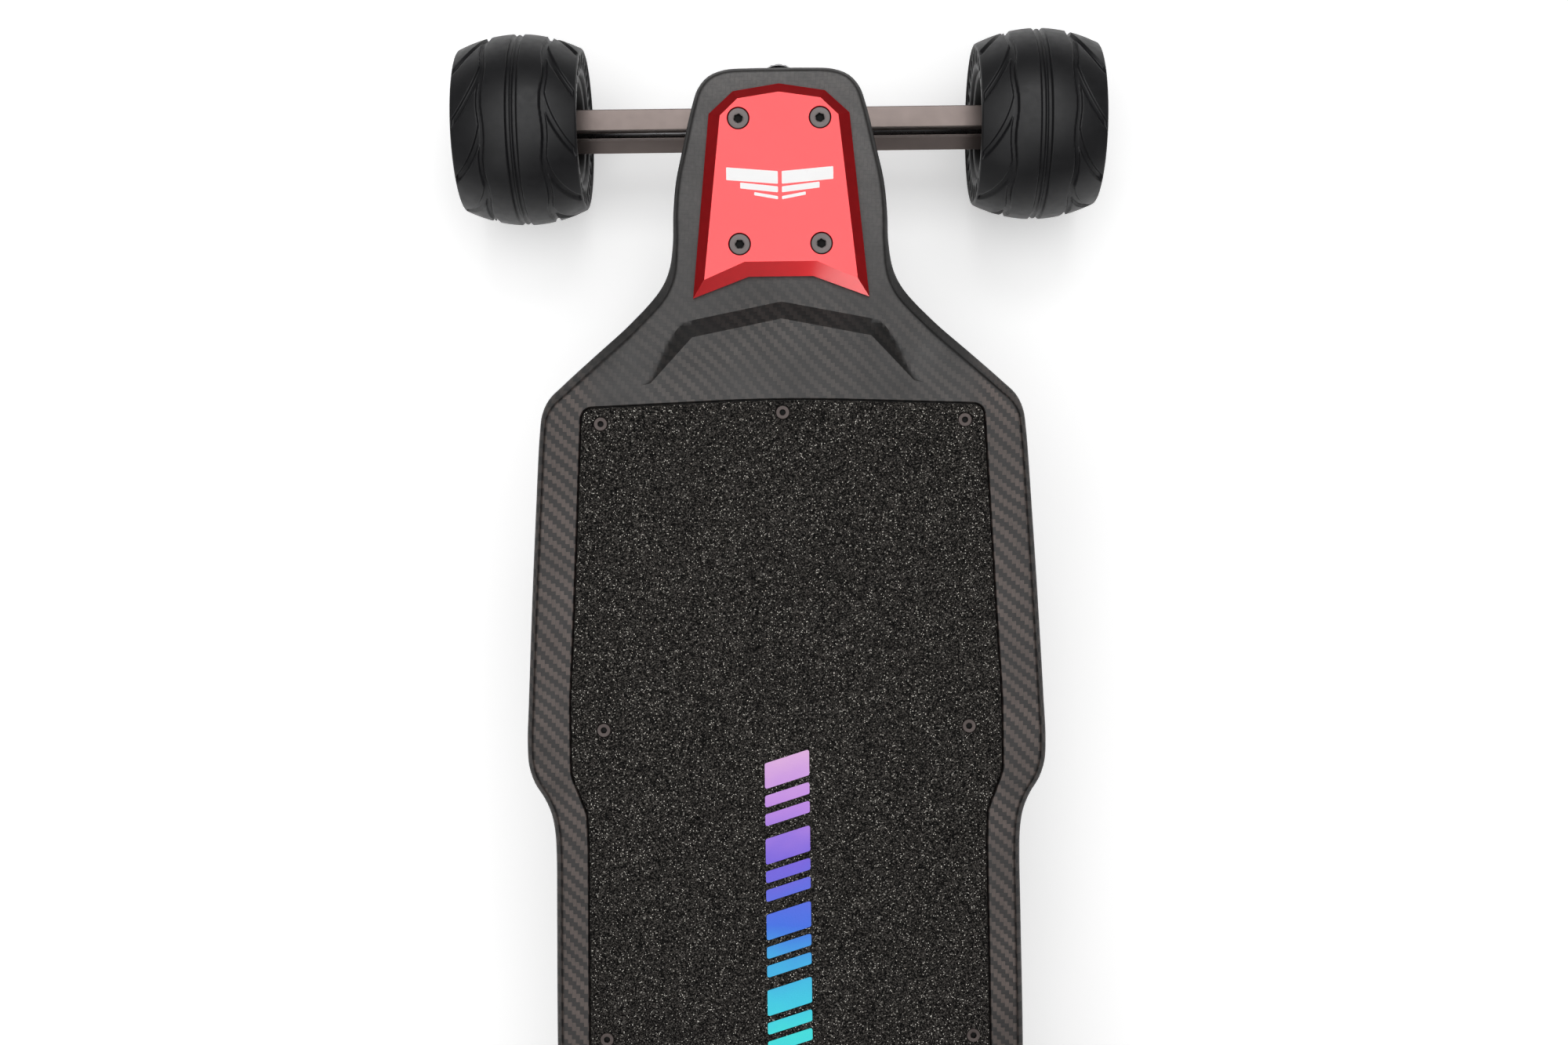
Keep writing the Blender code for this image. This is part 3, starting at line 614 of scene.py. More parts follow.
def twill(n, place, facing):
    """A two-by-two weave, flat or up a steep side: which tow is over, its fibres and its crown."""
    x, y, z = n.split(place)
    wander = n.mul(n.sub(n.noise(place, 0.02, 1.0), 0.5), 2.4)
    tows = []
    for side, flat in zip(facing[:2], (x, y)):
        upright = n.math('GREATER_THAN', n.math('ABSOLUTE', side), 0.72)
        tows.append(n.add(n.math('DIVIDE', n.either(upright, z, flat), TOW_WIDTH), wander))
    across, along = tows
    step = n.add(n.math('FLOOR', across), n.math('FLOOR', along))
    over = n.math('LESS_THAN', n.math('FLOORED_MODULO', step, 4.0), 1.5)
    width = n.sub(n.math('FRACT', n.either(over, across, along)), 0.5)
    crown = n.sub(1.0, n.mul(n.mul(width, width), 4.0))
    warp, weft = (n.noise(n.stretched(place, *scale), 1.0, 3.0, 0.6)
                  for scale in ((9.0, 0.6, 3.0), (0.6, 9.0, 3.0)))
    fibre = n.spread(n.either(over, warp, weft), 0.3, 0.7, 0.0, 1.0)
    return over, fibre, crown


def carbon_twill():
    """Carbon under a matt lacquer: plain twill on the sides, clouded over by the resin ahead, with painted
    shade on its slopes and painted light towards the nose.
    """
    n = new_material("carbon_twill")
    place = n.position()
    facing = n.split(n.new("NewGeometry").outputs["Normal"])
    aside, ahead = (n.math('ABSOLUTE', value) for value in n.split(place)[:2])
    over, fibre, crown = twill(n, place, facing)
    light = n.blend(fibre, srgb(74, 67, 64), srgb(98, 89, 85))
    dark = n.blend(fibre, srgb(28, 27, 27), srgb(44, 41, 40))
    resin = n.blend(n.noise(place, 0.5, 5.0, 0.7), srgb(44, 43, 43), srgb(74, 71, 70))
    to_side = n.spread(aside, 88.0, 104.0, 0.0, 1.0)
    clouds = n.spread(n.noise(place, 0.018, 3.0, 0.6), 0.4, 0.62, 0.22, 0.6)
    woven = n.mul(n.math('MAXIMUM', clouds, to_side), n.spread(ahead, 362.0, 392.0, 1.0, 0.12))
    colour = n.blend(woven, resin, n.blend(over, dark, light))
    warm = n.blend(to_side, (0.98, 1.0, 1.0), (1.05, 0.97, 0.94))
    edge = n.spread(crown, 0.0, 0.35, 0.7, 1.0)
    patches = n.varied(place, 0.03, 0.66, 1.22, 5.0, 0.65)
    # painted light: the colour grows paler towards the nose, where the front light falls
    nose_painted_light = n.spread(ahead, 372.0, 480.0, 1.0, 2.1)
    # painted shade: the colour darkens where the surface tilts from straight up, on the rim and the panel's
    # slope
    slope_painted_shade = n.spread(facing[2], 0.955, 0.996, 0.42, 1.0)
    for factor in (edge, patches, nose_painted_light, slope_painted_shade, warm):
        colour = n.scaled(colour, factor)
    grain = n.bump(n.noise(place, 1.6, 4.0, 0.6), 0.03, 0.5, n.bump(crown, 0.04, 0.5))
    rough = n.varied(place, 0.035, 0.34, 0.46, 5.0, 0.65)
    return n.finish(colour, rough, grain, Specular_IOR_Level=0.45)


def black_grit():
    """Silicon carbide grit: grains from black to dark grey, and here and there a painted glint, a grain
    coloured near white as if it caught the light.
    """
    n = new_material("black_grit")
    place = n.position()

    def grains(scale):
        cells = n.new("TexVoronoi", feature='F1')
        n.feed(cells.inputs["Vector"], place)
        cells.inputs["Scale"].default_value = scale
        return cells.outputs["Distance"], n.new("SeparateColor", cells.outputs["Color"]).outputs[0]

    reach, tone = grains(2.1)
    spark_reach, spark = grains(1.85)
    base = n.blend(n.math('POWER', tone, 3.0), srgb(7, 7, 7), srgb(92, 88, 84))
    # painted glints: a few grains are coloured near white in place of light caught by their facets
    core = n.spread(spark_reach, 0.3, 0.5, 1.0, 0.0)
    painted_glint = n.mul(n.spread(spark, 0.9, 0.97, 0.0, 1.0), core)
    colour = n.blend(painted_glint, base, srgb(255, 250, 240))
    normal = n.bump(n.sub(tone, reach), 0.22, 0.5)
    return n.finish(colour, n.spread(tone, 0.0, 1.0, 0.95, 0.8), normal, Specular_IOR_Level=0.1)


def anodised(name, colour, dark, rough):
    """Bead-blasted anodised aluminium: coloured metal under a clear oxide, slightly cloudy."""
    n = new_material(name)
    place = n.position()
    tone = n.blend(n.varied(place, 0.02, 0.0, 1.0, 3.0), dark, colour)
    normal = n.bump(n.noise(place, 4.0, 3.0, 0.7), 0.012, 0.6)
    roughness = n.varied(place, 0.4, rough - 0.04, rough + 0.04)
    return n.finish(tone, roughness, normal, 0.85, Coat_Weight=1.0, Coat_IOR=1.8, Coat_Roughness=0.1)


def plain(name, colour, rough, metallic=0.0, grain=0.02, scale=2.0, variation=0.12, specular=0.5, **more):
    """A moulded or machined finish: slight tone and gloss variation over a fine grain."""
    n = new_material(name)
    place = n.position()
    low = tuple(value * (1 - variation) for value in colour)
    high = tuple(min(value * (1 + variation), 1) for value in colour)
    tone = n.blend(n.varied(place, 0.06, 0.0, 1.0), low, high)
    normal = n.bump(n.noise(place, scale, 3.0, 0.6), grain, 0.6)
    roughness = n.varied(place, 0.25, rough * 0.88, rough * 1.1)
    return n.finish(tone, roughness, normal, metallic, Specular_IOR_Level=specular, **more)


def iridescent_foil():
    """Foil whose colour runs from pink through violet and blue to cyan along the board."""
    n = new_material("iridescent_foil")
    place = n.position()
    wave = n.mul(n.sub(n.noise(place, 0.04, 2.0), 0.5), 22.0)
    run = n.spread(n.math('ABSOLUTE', n.add(n.split(place)[1], wave)), 0.0, 150.0, 0.0, 1.0)
    stops = [(0.0, srgb(64, 246, 244)), (0.12, srgb(60, 222, 252)), (0.38, srgb(66, 122, 252)),
             (0.6, srgb(128, 106, 244)), (0.8, srgb(212, 152, 250)), (1.0, srgb(255, 204, 244))]
    gradient = n.new("ValToRGB", run)
    elements = gradient.color_ramp.elements
    for position, _ in stops[1:-1]:
        elements.new(position)
    for element, (position, colour) in zip(elements, stops):
        element.position = position
        element.color = (*colour, 1)
    grit = n.bump(n.noise(place, 1.2, 3.0, 0.6), 0.25, 0.5)
    return n.finish(gradient.outputs[0], 0.45, grit, 0.0, Specular_IOR_Level=0.4)


CARBON = carbon_twill()
GRIT = black_grit()
RED = anodised("red_anodised", srgb(240, 18, 30), srgb(228, 10, 24), 0.36)
FOIL = iridescent_foil()
WHITE_INK = plain("white_print", srgb(255, 254, 254), 0.3, grain=0.005, variation=0.02, Coat_Weight=1.0,
                  Coat_IOR=1.9)
DARK_STEEL = plain("black_oxide_steel", srgb(104, 98, 97), 0.38, metallic=0.7, grain=0.03, scale=3.0)
LID_SCREW = plain("lid_screw_steel", srgb(82, 74, 72), 0.4, metallic=0.75, grain=0.03, scale=3.0)
RUBBER = plain("tyre_rubber", srgb(25, 25, 27), 0.46, grain=0.05, scale=2.2, specular=0.42)
CORE_NYLON = plain("core_nylon", srgb(17, 17, 18), 0.45, grain=0.04, scale=1.4, specular=0.35)
GUNMETAL = plain("satin_gunmetal", srgb(126, 115, 111), 0.36, metallic=0.85, grain=0.012, scale=5.0,
                 variation=0.08)
CASTING = plain("dark_casting", srgb(84, 81, 80), 0.45, metallic=0.7, grain=0.03, scale=1.6)
STEEL = plain("turned_steel", srgb(168, 168, 170), 0.28, metallic=1.0, grain=0.01, scale=6.0)
URETHANE = plain("bushing_urethane", srgb(34, 34, 36), 0.4, grain=0.02, scale=1.0)
# painted shade: a near-black finish for the inside of the screws' hexagon sockets
SOCKET_PAINTED_SHADE = plain("socket_painted_shade", srgb(6, 6, 6), 0.6, grain=0.01, specular=0.2)
SEAL = plain("seal_rubber", srgb(26, 26, 27), 0.75, grain=0.03)
BELT = plain("belt_rubber", srgb(30, 30, 31), 0.65, grain=0.04, scale=3.0)
BLACK_METAL = plain("black_anodised", srgb(38, 38, 41), 0.38, metallic=0.8, grain=0.015, scale=4.0)
COPPER = plain("copper_windings", srgb(168, 92, 52), 0.35, metallic=0.9, grain=0.15, scale=1.5)
WRAP = plain("battery_wrap", srgb(34, 70, 120), 0.35, grain=0.05, scale=0.3)


# ---------------------------------------------------------------- deck

def side_height(y):
    """The height of the deck's top beside the raised panel."""
    return NOSE_TOP + (PLATFORM_TOP - NOSE_TOP) * ramp(np.abs(y), *SIDE_RISE)


def bottom_height(y):
    """The height of the deck's underside."""
    return NOSE_BOTTOM + (PLATFORM_BOTTOM - NOSE_BOTTOM) * ramp(np.abs(y), *BOTTOM_DROP)


def rim_band(y):
    """The width of the slope round the deck's top edge, widest along the shoulders."""
    along = np.abs(y)
    shoulder = ramp(along, 312, 330) * (1 - ramp(along, 374, 400))
    return 2.2 - 0.9 * ramp(along, 380, 420) + 2.2 * shoulder


def panel_distance(x, y):
    """How far a point lies outside the raised panel in front of the lid."""
    x, y = np.abs(x), np.abs(y)
    far = np.full(np.shape(x), -1e9)
    for (x1, y1), (x2, y2) in zip(PANEL_EDGE, PANEL_EDGE[1:]):
        span = math.hypot(x2 - x1, y2 - y1)
        normal = ((y2 - y1) / span, (x1 - x2) / span)
        far = np.maximum(far, (x - x1) * normal[0] + (y - y1) * normal[1])
    return far


def top_height(x, y):
    """The deck's top: the shoulders, with the panel standing above them."""
    panel = PLATFORM_TOP - PANEL_SLOPE * np.maximum(panel_distance(x, y), 0)
    return np.maximum(side_height(y), panel)


def panel_foot(steps=14):
    """Where the panel's slope meets the shoulders, along its edge on the right."""
    foot = []
    for (x1, y1), (x2, y2) in zip(PANEL_EDGE, PANEL_EDGE[1:]):
        span = math.hypot(x2 - x1, y2 - y1)
        normal = np.array([(y2 - y1) / span, (x1 - x2) / span])
        for step in range(steps + 1):
            start = np.array([x1, y1]) + np.array([x2 - x1, y2 - y1]) * step / steps
            reach = 0.0
            for _ in range(12):
                reach = float(PLATFORM_TOP - side_height(start[1] + normal[1] * reach)) / PANEL_SLOPE
            point = start + normal * reach
            if point[0] >= -0.01 and abs(panel_distance(*point) - reach) < 0.05:
                foot.append(tuple(point))
    return foot


def bolt_places(end=1):
    """The truck bolts' (x, y) at the nose, or at the tail for -1."""
    return [(x, end * y) for x in (BOLT_X, -BOLT_X) for y in BOLT_Y]


def grid_points(half_width, near, far, step_x, step_y, loop, holes):
    """Grid points at both ends of the deck, in a loop and clear of its holes."""
    grid = np.array([(x, end * y) for end in (1, -1) for x in np.arange(-half_width, half_width + 1, step_x)
                     for y in np.arange(near, far, step_y)])
    keep = inside(grid, loop)
    for hole in holes:
        keep &= ~inside(grid, hole)
    return grid[keep]


def deck_rings(outline):
    """The shell's outside: from the flat underside round the low edge, up the side and over the rim."""
    y = outline[:, 1]
    depth = (side_height(y) - bottom_height(y)) / (PLATFORM_TOP - PLATFORM_BOTTOM)
    low_round = 3.6 + 10.4 * depth
    band = rim_band(y)
    rings = []
    for angle in np.radians(np.linspace(0, 90, 9)):
        path = inset(outline, low_round * (1 - math.sin(angle)))
        rings.append(at_height(path, bottom_height(path[:, 1]) + low_round * (1 - math.cos(angle))))
    edge = [(inward, band + below) for inward, below in ((0.0, 2.6), (0.12, 1.6), (0.5, 0.75), (1.1, 0.1))]
    edge += [(band + inward, below) for inward, below in ((0.2, 0.9), (0.7, 0.42), (1.4, 0.12), (2.4, 0.0))]
    for inward, below in edge:
        path = inset(outline, inward)
        rings.append(at_height(path, side_height(path[:, 1]) - below))
    return rings


def build_deck():
    """The carbon shell: rounded rim, panel relief, lid recess, and the cavity under the lid."""
    rings = deck_rings(smooth_path(four_fold(DECK_OUTLINE), 2.6))
    rim_low, rim_top = rings[0][:, :2], rings[-1][:, :2]
    lid = rounded_path(four_fold(LID_QUARTER), 3.0)
    recess, lip = inset(lid, -LID_GAP), inset(lid, -LID_GAP - 0.5)
    cavity, floor = rounded_path(four_fold(CAVITY_QUARTER), 6.0), PLATFORM_BOTTOM + WALL
    button_seat = circle(0, BUTTON_Y, BUTTON_SEAT)
    bolt_holes = [circle(x, y, BOLT_HOLE, 24) for end in (1, -1) for x, y in bolt_places(end)]
    round_bolts = [inset(hole, -1.5) for hole in bolt_holes]
    creases = []
    for end in (1, -1):
        for line in (PANEL_EDGE, smooth_path(panel_foot(), 2.5, closed=False)):
            right = dense(line) * (1, end)
            creases += [right, right * (-1, 1)]
    top_grid = grid_points(114, 321, 484, 3.0, 3.0, inset(rim_top, 2.0), [inset(lip, -2.0), *round_bolts])
    top_grid = top_grid[np.abs(panel_distance(*top_grid.T)) > 1.2]
    low_grid = grid_points(105, 326, 482, 6.0, 4.0, inset(rim_low, 2.5), round_bolts)
    shell = Shell().rings(*rings)
    shell.flat(rim_top, top_height, [lip, *bolt_holes], creases, top_grid)
    shell.wall((lip, top_height(*lip.T)), (recess, PLATFORM_TOP - 0.5), (recess, LEDGE))
    shell.flat(recess, LEDGE, [cavity])
    shell.wall((cavity, LEDGE), (cavity, floor))
    shell.flat(cavity, floor, [button_seat])
    shell.wall((button_seat, floor), (button_seat, PLATFORM_BOTTOM))
    shell.flat(rim_low, lambda x, y: bottom_height(y), [button_seat, *bolt_holes], (), low_grid)
    for hole in bolt_holes:
        shell.wall((hole, NOSE_TOP), (hole, NOSE_BOTTOM))
    piece("deck_monocoque", welded(shell, CARBON, 24), "deck", ("deck_shell",))


# ---------------------------------------------------------------- lid and covers

def countersink(shell, seat, top, lip, depth, narrowing):
    """An open seat for a screw: a short upright lip, then a cone down to a flat floor."""
    centre = seat.mean(0)
    narrow = centre + (seat - centre) * narrowing
    shell.wall((seat, top), (seat, top - lip), (narrow, top - depth))
    shell.flat(narrow, top - depth)


def screw_mesh(radius, socket, finish):
    """A countersunk head with a bevelled rim, a turned groove and a deep hexagon socket, whose walls and
    floor take a near-black finish as painted shade.
    """
    low, depth = radius / 2, radius * 0.42
    hexagon, floor = nut_outline(socket), circle(0, 0, socket * 0.6, 72)
    levels = [(circle(0, 0, size, 72), height) for size, height in (
        (low, -low), (radius, -0.3), (radius - 0.35, 0), (socket * 1.6, 0.0), (socket * 1.24, -0.06))]
    shell = Shell().wall(*levels, (hexagon, -0.3), (hexagon, -depth), (floor, -depth))
    shell.flat(floor, -depth)
    shell.flat(levels[0][0], -low)
    mesh = welded(shell, finish, 30)
    mesh.materials.append(SOCKET_PAINTED_SHADE)
    # painted shade: the socket's walls and floor take the near-black finish
    for face in mesh.polygons:
        x, y, z = face.center / MM
        if math.hypot(x, y) < socket * 1.2 and -radius * 0.45 < z < -0.2:
            face.material_index = 1
    return mesh


def add_screws(name, mesh, seats, z):
    """Socket screws in their seats, each turned by chance."""
    for number, seat in enumerate(seats, start=1):
        piece(f"{name}_{number}", mesh, "deck", (), place_at(*seat.mean(0), z, RANDOM.uniform(0, math.tau)))


def build_lid():
    """The grit lid, with an open seat for each of its screws."""
    outline = rounded_path(four_fold(LID_QUARTER), 3.0)
    top_edge = inset(outline, 0.6)
    places = [(x * sx, y * sy) for x, y in LID_SCREWS for sx in (1, -1) for sy in ((1, -1) if y else (1,))]
    places += [(0, LID_END_SCREW), (0, -LID_END_SCREW)]
    seats = [circle(x, y, LID_SEAT, 32) for x, y in places]
    shell = Shell().wall((outline, LID_LOW), (outline, LID_TOP - 0.6), (top_edge, LID_TOP))
    shell.flat(top_edge, LID_TOP, seats)
    shell.flat(outline, LID_LOW)
    for seat in seats:
        countersink(shell, seat, LID_TOP, 0.5, 2.2, 0.55)
    piece("grit_lid", welded(shell, GRIT, 30), "deck", ("grip_lid",))
    add_screws("lid_screw", screw_mesh(3.55, 1.3, LID_SCREW), seats, LID_TOP - 0.1)


def build_cover(end, name, node):
    """A red truck cover: chamfered all round, its four bolts in countersinks."""
    edge, top_edge = (np.array(two_fold(half), float) * (1, end) for half in (COVER_EDGE, COVER_TOP_EDGE))
    seats = [circle(x, y, COVER_SEAT, 40) for x, y in bolt_places(end)]
    shell = Shell().wall((edge, COVER_LOW), (edge, COVER_EDGE_TOP), (top_edge, COVER_TOP))
    shell.flat(top_edge, COVER_TOP, seats)
    shell.flat(edge, COVER_LOW)
    for seat in seats:
        countersink(shell, seat, COVER_TOP, 0.6, 3.4, 0.5)
    add_bevel(piece(name, welded(shell, RED, 10), "deck", (node,)), 0.35, 12)
    add_screws(name + "_bolt", screw_mesh(5.3, 2.0, DARK_STEEL), seats, COVER_TOP - 0.15)


def slanted_bar(x, y, width, height, lean, radius=1.2):
    """A bar with rounded corners whose right end stands higher by its lean."""
    corners = [(x + sx * width / 2, y + (sy * height + sx * lean) / 2)
               for sx, sy in ((-1, -1), (1, -1), (1, 1), (-1, 1))]
    return rounded(corners, radius, 2.0)


def thin_plate(name, outlines, z, thickness, finish):
    """Printed or foil shapes that stand a little above a surface, joined in one piece."""
    shell = Shell()
    for outline in outlines:
        shell.solid(outline, z, z + thickness)
    piece(name, welded(shell, finish, 30), "deck")


def build_graphics():
    """Generic marks: slanted foil bars down the lid, and plain white stripes on both covers."""
    bars = []
    y, end_y = FOIL_RUN
    while y > end_y:
        height, gap = FOIL_BARS[len(bars) % len(FOIL_BARS)]
        bars.append(slanted_bar(0, y - height / 2, FOIL_WIDTH, height, FOIL_LEAN))
        y -= height + gap
    thin_plate("foil_bars", bars, LID_TOP - 0.05, 0.3, FOIL)
    for end, name in ((1, "front_cover_stripes"), (-1, "rear_cover_stripes")):
        stripes = [slanted_bar(side * (width / 2 + 1.0), end * (STRIPES_Y + ahead), width, height,
                               side * end * STRIPE_LEAN, 0.5)
                   for width, height, ahead in STRIPES for side in (1, -1)]
        thin_plate(name, stripes, COVER_TOP - 0.02, 0.12, WHITE_INK)


# ---------------------------------------------------------------- wheels

def crown_radius(x):
    """The tyre's radius across its tread."""
    return TYRE_RADIUS - 0.0071 * x * x


def groove_depth(s, x):
    """Depth of the moulded tread pattern at arc length s and place x across the tread."""
    pitch = math.tau * TYRE_RADIUS / TREAD_REPEATS

    def channel(distance, half_width):
        return np.clip((half_width + 0.25 - distance) / 0.5, 0, 1)

    centre = 1.9 * channel(np.abs(x), 2.9) - 1.5 * channel(np.abs(x), 0.6)
    depth = np.maximum(centre, 0)
    for side in (1, -1):
        out = x * side
        shift = s + (0 if side > 0 else pitch / 2)
        wave = 16.9 + 0.7 * np.cos(math.tau * shift / pitch)
        depth = np.maximum(depth, 1.7 * channel(np.abs(out - wave), 1.3))
        reach = np.clip((out - 17.0) / 16.0, 1e-3, 1.2)
        run = 34.0 * reach ** 0.68
        slope = 34.0 * 0.68 * reach ** -0.32 / 16.0
        gap = (shift - 0.42 * pitch - run) % pitch
        gap = np.minimum(gap, pitch - gap) / np.sqrt(1 + slope * slope)
        branch = 1.6 * channel(gap, 1.45) * (out > 16.6) * np.clip((TREAD_HALF - out) / 1.2, 0, 1)
        depth = np.maximum(depth, branch)
    return depth


def tyre_mesh(turn):
    """An airless tyre: crowned tread with moulded grooves turned a way round, and cells in each side."""
    steps = CELLS * 20
    angles = np.arange(steps) * math.tau / steps
    cell = math.tau / CELLS
    from_cell = np.abs((angles / cell) % 1.0 - 0.5) * cell
    side = [(28.0, CORE_RADIUS + 0.3), (32.0, CORE_RADIUS + 0.4), (32.8, 31.6), (32.8, 33.2)]
    side += [(32.8, radius) for radius in np.linspace(33.9, 41.1, 12)]
    side += [(32.8, 41.8), (33.3, 42.2), (34.0, 42.5), (34.0, 43.2), (33.8, 43.9)]
    rows = []
    for x, radius in side:
        beyond = max(abs(radius - CELL_MIDDLE) - (CELL_HALF_LENGTH - CELL_HALF_WIDTH), 0)
        distance = np.hypot(from_cell * radius, beyond)
        depth = CELL_DEPTH * np.clip((CELL_HALF_WIDTH + 0.3 - distance) / 0.6, 0, 1)
        rows.append((depth - x, np.full(steps, radius)))
    for x in np.linspace(-TREAD_HALF, TREAD_HALF, 161):
        across = np.full(steps, x)
        rows.append((across, crown_radius(x) - groove_depth((angles - turn) * TYRE_RADIUS, across)))
    rows += [(-x, radius) for x, radius in reversed(rows[:len(side)])]
    vertices = [np.stack([x, radius * np.cos(angles), radius * np.sin(angles)], 1) for x, radius in rows]
    index = np.arange(len(rows) * steps).reshape(len(rows), steps)
    following = np.roll(index, -1, 0)
    faces = np.stack([index, np.roll(index, -1, 1), np.roll(following, -1, 1), following], 2).reshape(-1, 4)
    mesh = bpy.data.meshes.new("airless_tyre")
    mesh.from_pydata((np.concatenate(vertices) * MM).tolist(), [], faces[:, ::-1].tolist())
    mesh.materials.append(RUBBER)
    mesh.shade_smooth()
    return mesh


def core_mesh():
    """The moulded core: a rim, a web with six windows and ribs, and the hub round the bearings."""
    rim = [(30.1, 30.5), (30.1, -30.5), (28.6, -31.2), (26.4, -30.6), (25.6, -29.0), (25.6, 29.0),
           (26.4, 30.6), (28.6, 31.2)]
    hub = [(15, 18), (15, -18), (14.2, -18.8), (11.2, -18.8), (11.2, 18.8), (14.2, 18.8)]
    shell = Shell().turned(rim, 96).turned(hub)
    half_window = math.radians(22)
    windows = []
    for number in range(SPOKES):
        middle = math.radians(360 / SPOKES * number + SPOKE_TURN)
        windows.append(sector(16.6, 24.4, middle - half_window, middle + half_window, 2.2))
    near, far = WEB_RADII
    outer, bore = circle(0, 0, far, 96), circle(0, 0, near, 72)
    for height in (WEB_HALF, -WEB_HALF):
        shell.flat(outer, height, [*windows, bore])
    for loop in (*windows, outer, bore):
        shell.wall((loop, -WEB_HALF), (loop, WEB_HALF))
    for number in range(SPOKES):
        angle = math.radians(360 / SPOKES * (number + 0.5) + SPOKE_TURN)
        out, beside = spoke_axes(angle)
        beside *= 1.3
        rib = np.array([out * near - beside, out * far - beside, out * far + beside, out * near + beside])
        for side in (1, -1):
            base = at_height(rib, side * (WEB_HALF - 0.1))
            top = at_height(rib, side * np.array([11.5, 8.0, 8.0, 11.5]))
            shell.rings(base, top)
            for face in (base, top):
                shell.add(face, [(0, 1, 2, 3)])
    return welded(shell.upright(), CORE_NYLON)


def bearing_mesh():
    """A shielded ball bearing, 8 x 22 x 7 mm."""
    half = [(4.15, 3.3), (4.4, 3.5), (5.8, 3.5), (5.9, 3.1), (9.4, 3.1), (9.5, 3.5), (10.7, 3.5), (11, 3.2)]
    profile = half + [(radius, -height) for radius, height in reversed(half)]
    return welded(Shell().turned(profile, 64).upright(), STEEL)


def nut_mesh(bore, flat, height):
    """A hexagon lock nut with a rounded collar for its insert."""
    hexagon = nut_outline(flat)
    reach = np.linalg.norm(hexagon, axis=1)
    clipped = hexagon * (np.minimum(reach, flat * 1.03) / reach)[:, None]
    body = height * 0.72
    chamfer = (flat / math.cos(math.pi / 6) - flat) * 0.6
    inner, collar, top = (circle(0, 0, radius, 72) for radius in (bore, flat * 0.86, flat * 0.8))
    shell = Shell().wall((inner, 0), (clipped, 0), (hexagon, chamfer), (hexagon, body - chamfer),
                         (clipped, body), (collar, body), (collar, height - 0.5), (top, height),
                         (inner, height), (inner, 0))
    return welded(shell.upright(), STEEL, 28)


def build_wheels():
    """Four wheels from shared meshes, each with its tyre, core, bearings, washer and nut."""
    tyres = {side: tyre_mesh(math.radians(turn)) for side, turn in TREAD_TURNS.items()}
    core, bearing, nut = core_mesh(), bearing_mesh(), nut_mesh(4.15, 6.5, 7.0)
    ring = [(4.2, 0.35), (6.4, 0.35), (6.4, -0.35), (4.2, -0.35)]
    washer = welded(Shell().turned(ring, 48).upright(), STEEL)
    face = WHEEL_X + BEARING_OFFSET + BEARING_HALF + 0.1
    for end, end_name in ((1, "front"), (-1, "rear")):
        for side, side_name in ((1, "right"), (-1, "left")):
            prefix = f"{end_name}_{side_name}"
            wheel, hanger = prefix + "_wheel", end_name + "_hanger"
            x, y = side * WHEEL_X, end * AXLE_Y
            centre = place_at(x, y, AXLE_Z)
            part(prefix, "tyre_moulded", tyres[side], wheel, "tyre", centre)
            part(prefix, "core_moulded", core, wheel, "core", centre)
            for where, offset in (("outer", BEARING_OFFSET), ("inner", -BEARING_OFFSET)):
                part(prefix, "ball_bearing_" + where, bearing, wheel, "bearing_" + where,
                     place_at(x + side * offset, y, AXLE_Z))
            part(prefix, "speed_ring", washer, hanger, None, place_at(side * (face + 0.3), y, AXLE_Z))
            part(prefix, "lock_nut", nut, hanger, "axle_nut",
                 place_at(side * (face + 0.7), y, AXLE_Z, 0 if side > 0 else math.pi))


# ---------------------------------------------------------------- trucks

def tilted(s, t):
    """The (y, z) of a point s up and forward along the pivots and t down and forward."""
    half = math.sqrt(0.5)
    return INNER_CENTRE[0] + (s + t) * half, INNER_CENTRE[1] + (s - t) * half


def along_pivots(points):
    """The (y, z) of points given by s and t."""
    return [tilted(s, t) for s, t in points]


def on_kingpin(s):
    """Z along a kingpin, upwards, from its pivot line."""
    return place_at(0, *tilted(s, 0), math.radians(45), 'X')


def on_pivot(t):
    """Z along a pivot pin, from under its kingpin."""
    return place_at(0, *tilted(0, t), math.radians(-45), 'X')


def kingpin_mesh(s, head, washer):
    """A kingpin: hexagon head, shank, a cup washer, and its lock nut with the thread's end below."""
    shank, rim = KINGPIN_RADIUS - 0.05, WASHER_RADIUS
    shell = Shell().turned([(0.01, -head + 0.3), (shank - 0.35, -head), (shank, -head - 0.5),
                            (shank, -washer - 10.9), (shank - 0.65, -washer - 11.7),
                            (0.01, -washer - 11.7)], 48)
    shell.turned([(KINGPIN_RADIUS, -washer), (rim - 0.5, -washer), (rim - 0.1, -washer + 0.5),
                  (rim, -washer + 0.3), (rim - 0.2, -washer - 1.1), (rim - 0.9, -washer - 1.7),
                  (KINGPIN_RADIUS, -washer - 1.7)], 64)
    nut = nut_outline(NUT_FLAT)
    narrow = nut * 0.93
    top, bottom = -washer - 1.8, -washer - 8.7
    bore, collar, lip = (circle(0, 0, radius, 72) for radius in (KINGPIN_RADIUS, 6.3, 5.8))
    shell.wall((bore, top), (narrow, top), (nut, top - 0.55), (nut, bottom + 2.4), (narrow, bottom + 1.8),
               (collar, bottom + 1.8), (collar, bottom + 0.5), (lip, bottom), (bore, bottom), (bore, top))
    for turn in range(9):
        low = -washer - 8.9 - 0.3 * turn
        shell.turned([(KINGPIN_RADIUS - 0.1, low), (KINGPIN_RADIUS + 0.12, low - 0.1),
                      (KINGPIN_RADIUS - 0.1, low - 0.2)], 48)
    return welded(shell, STEEL, 30, on_kingpin(s))


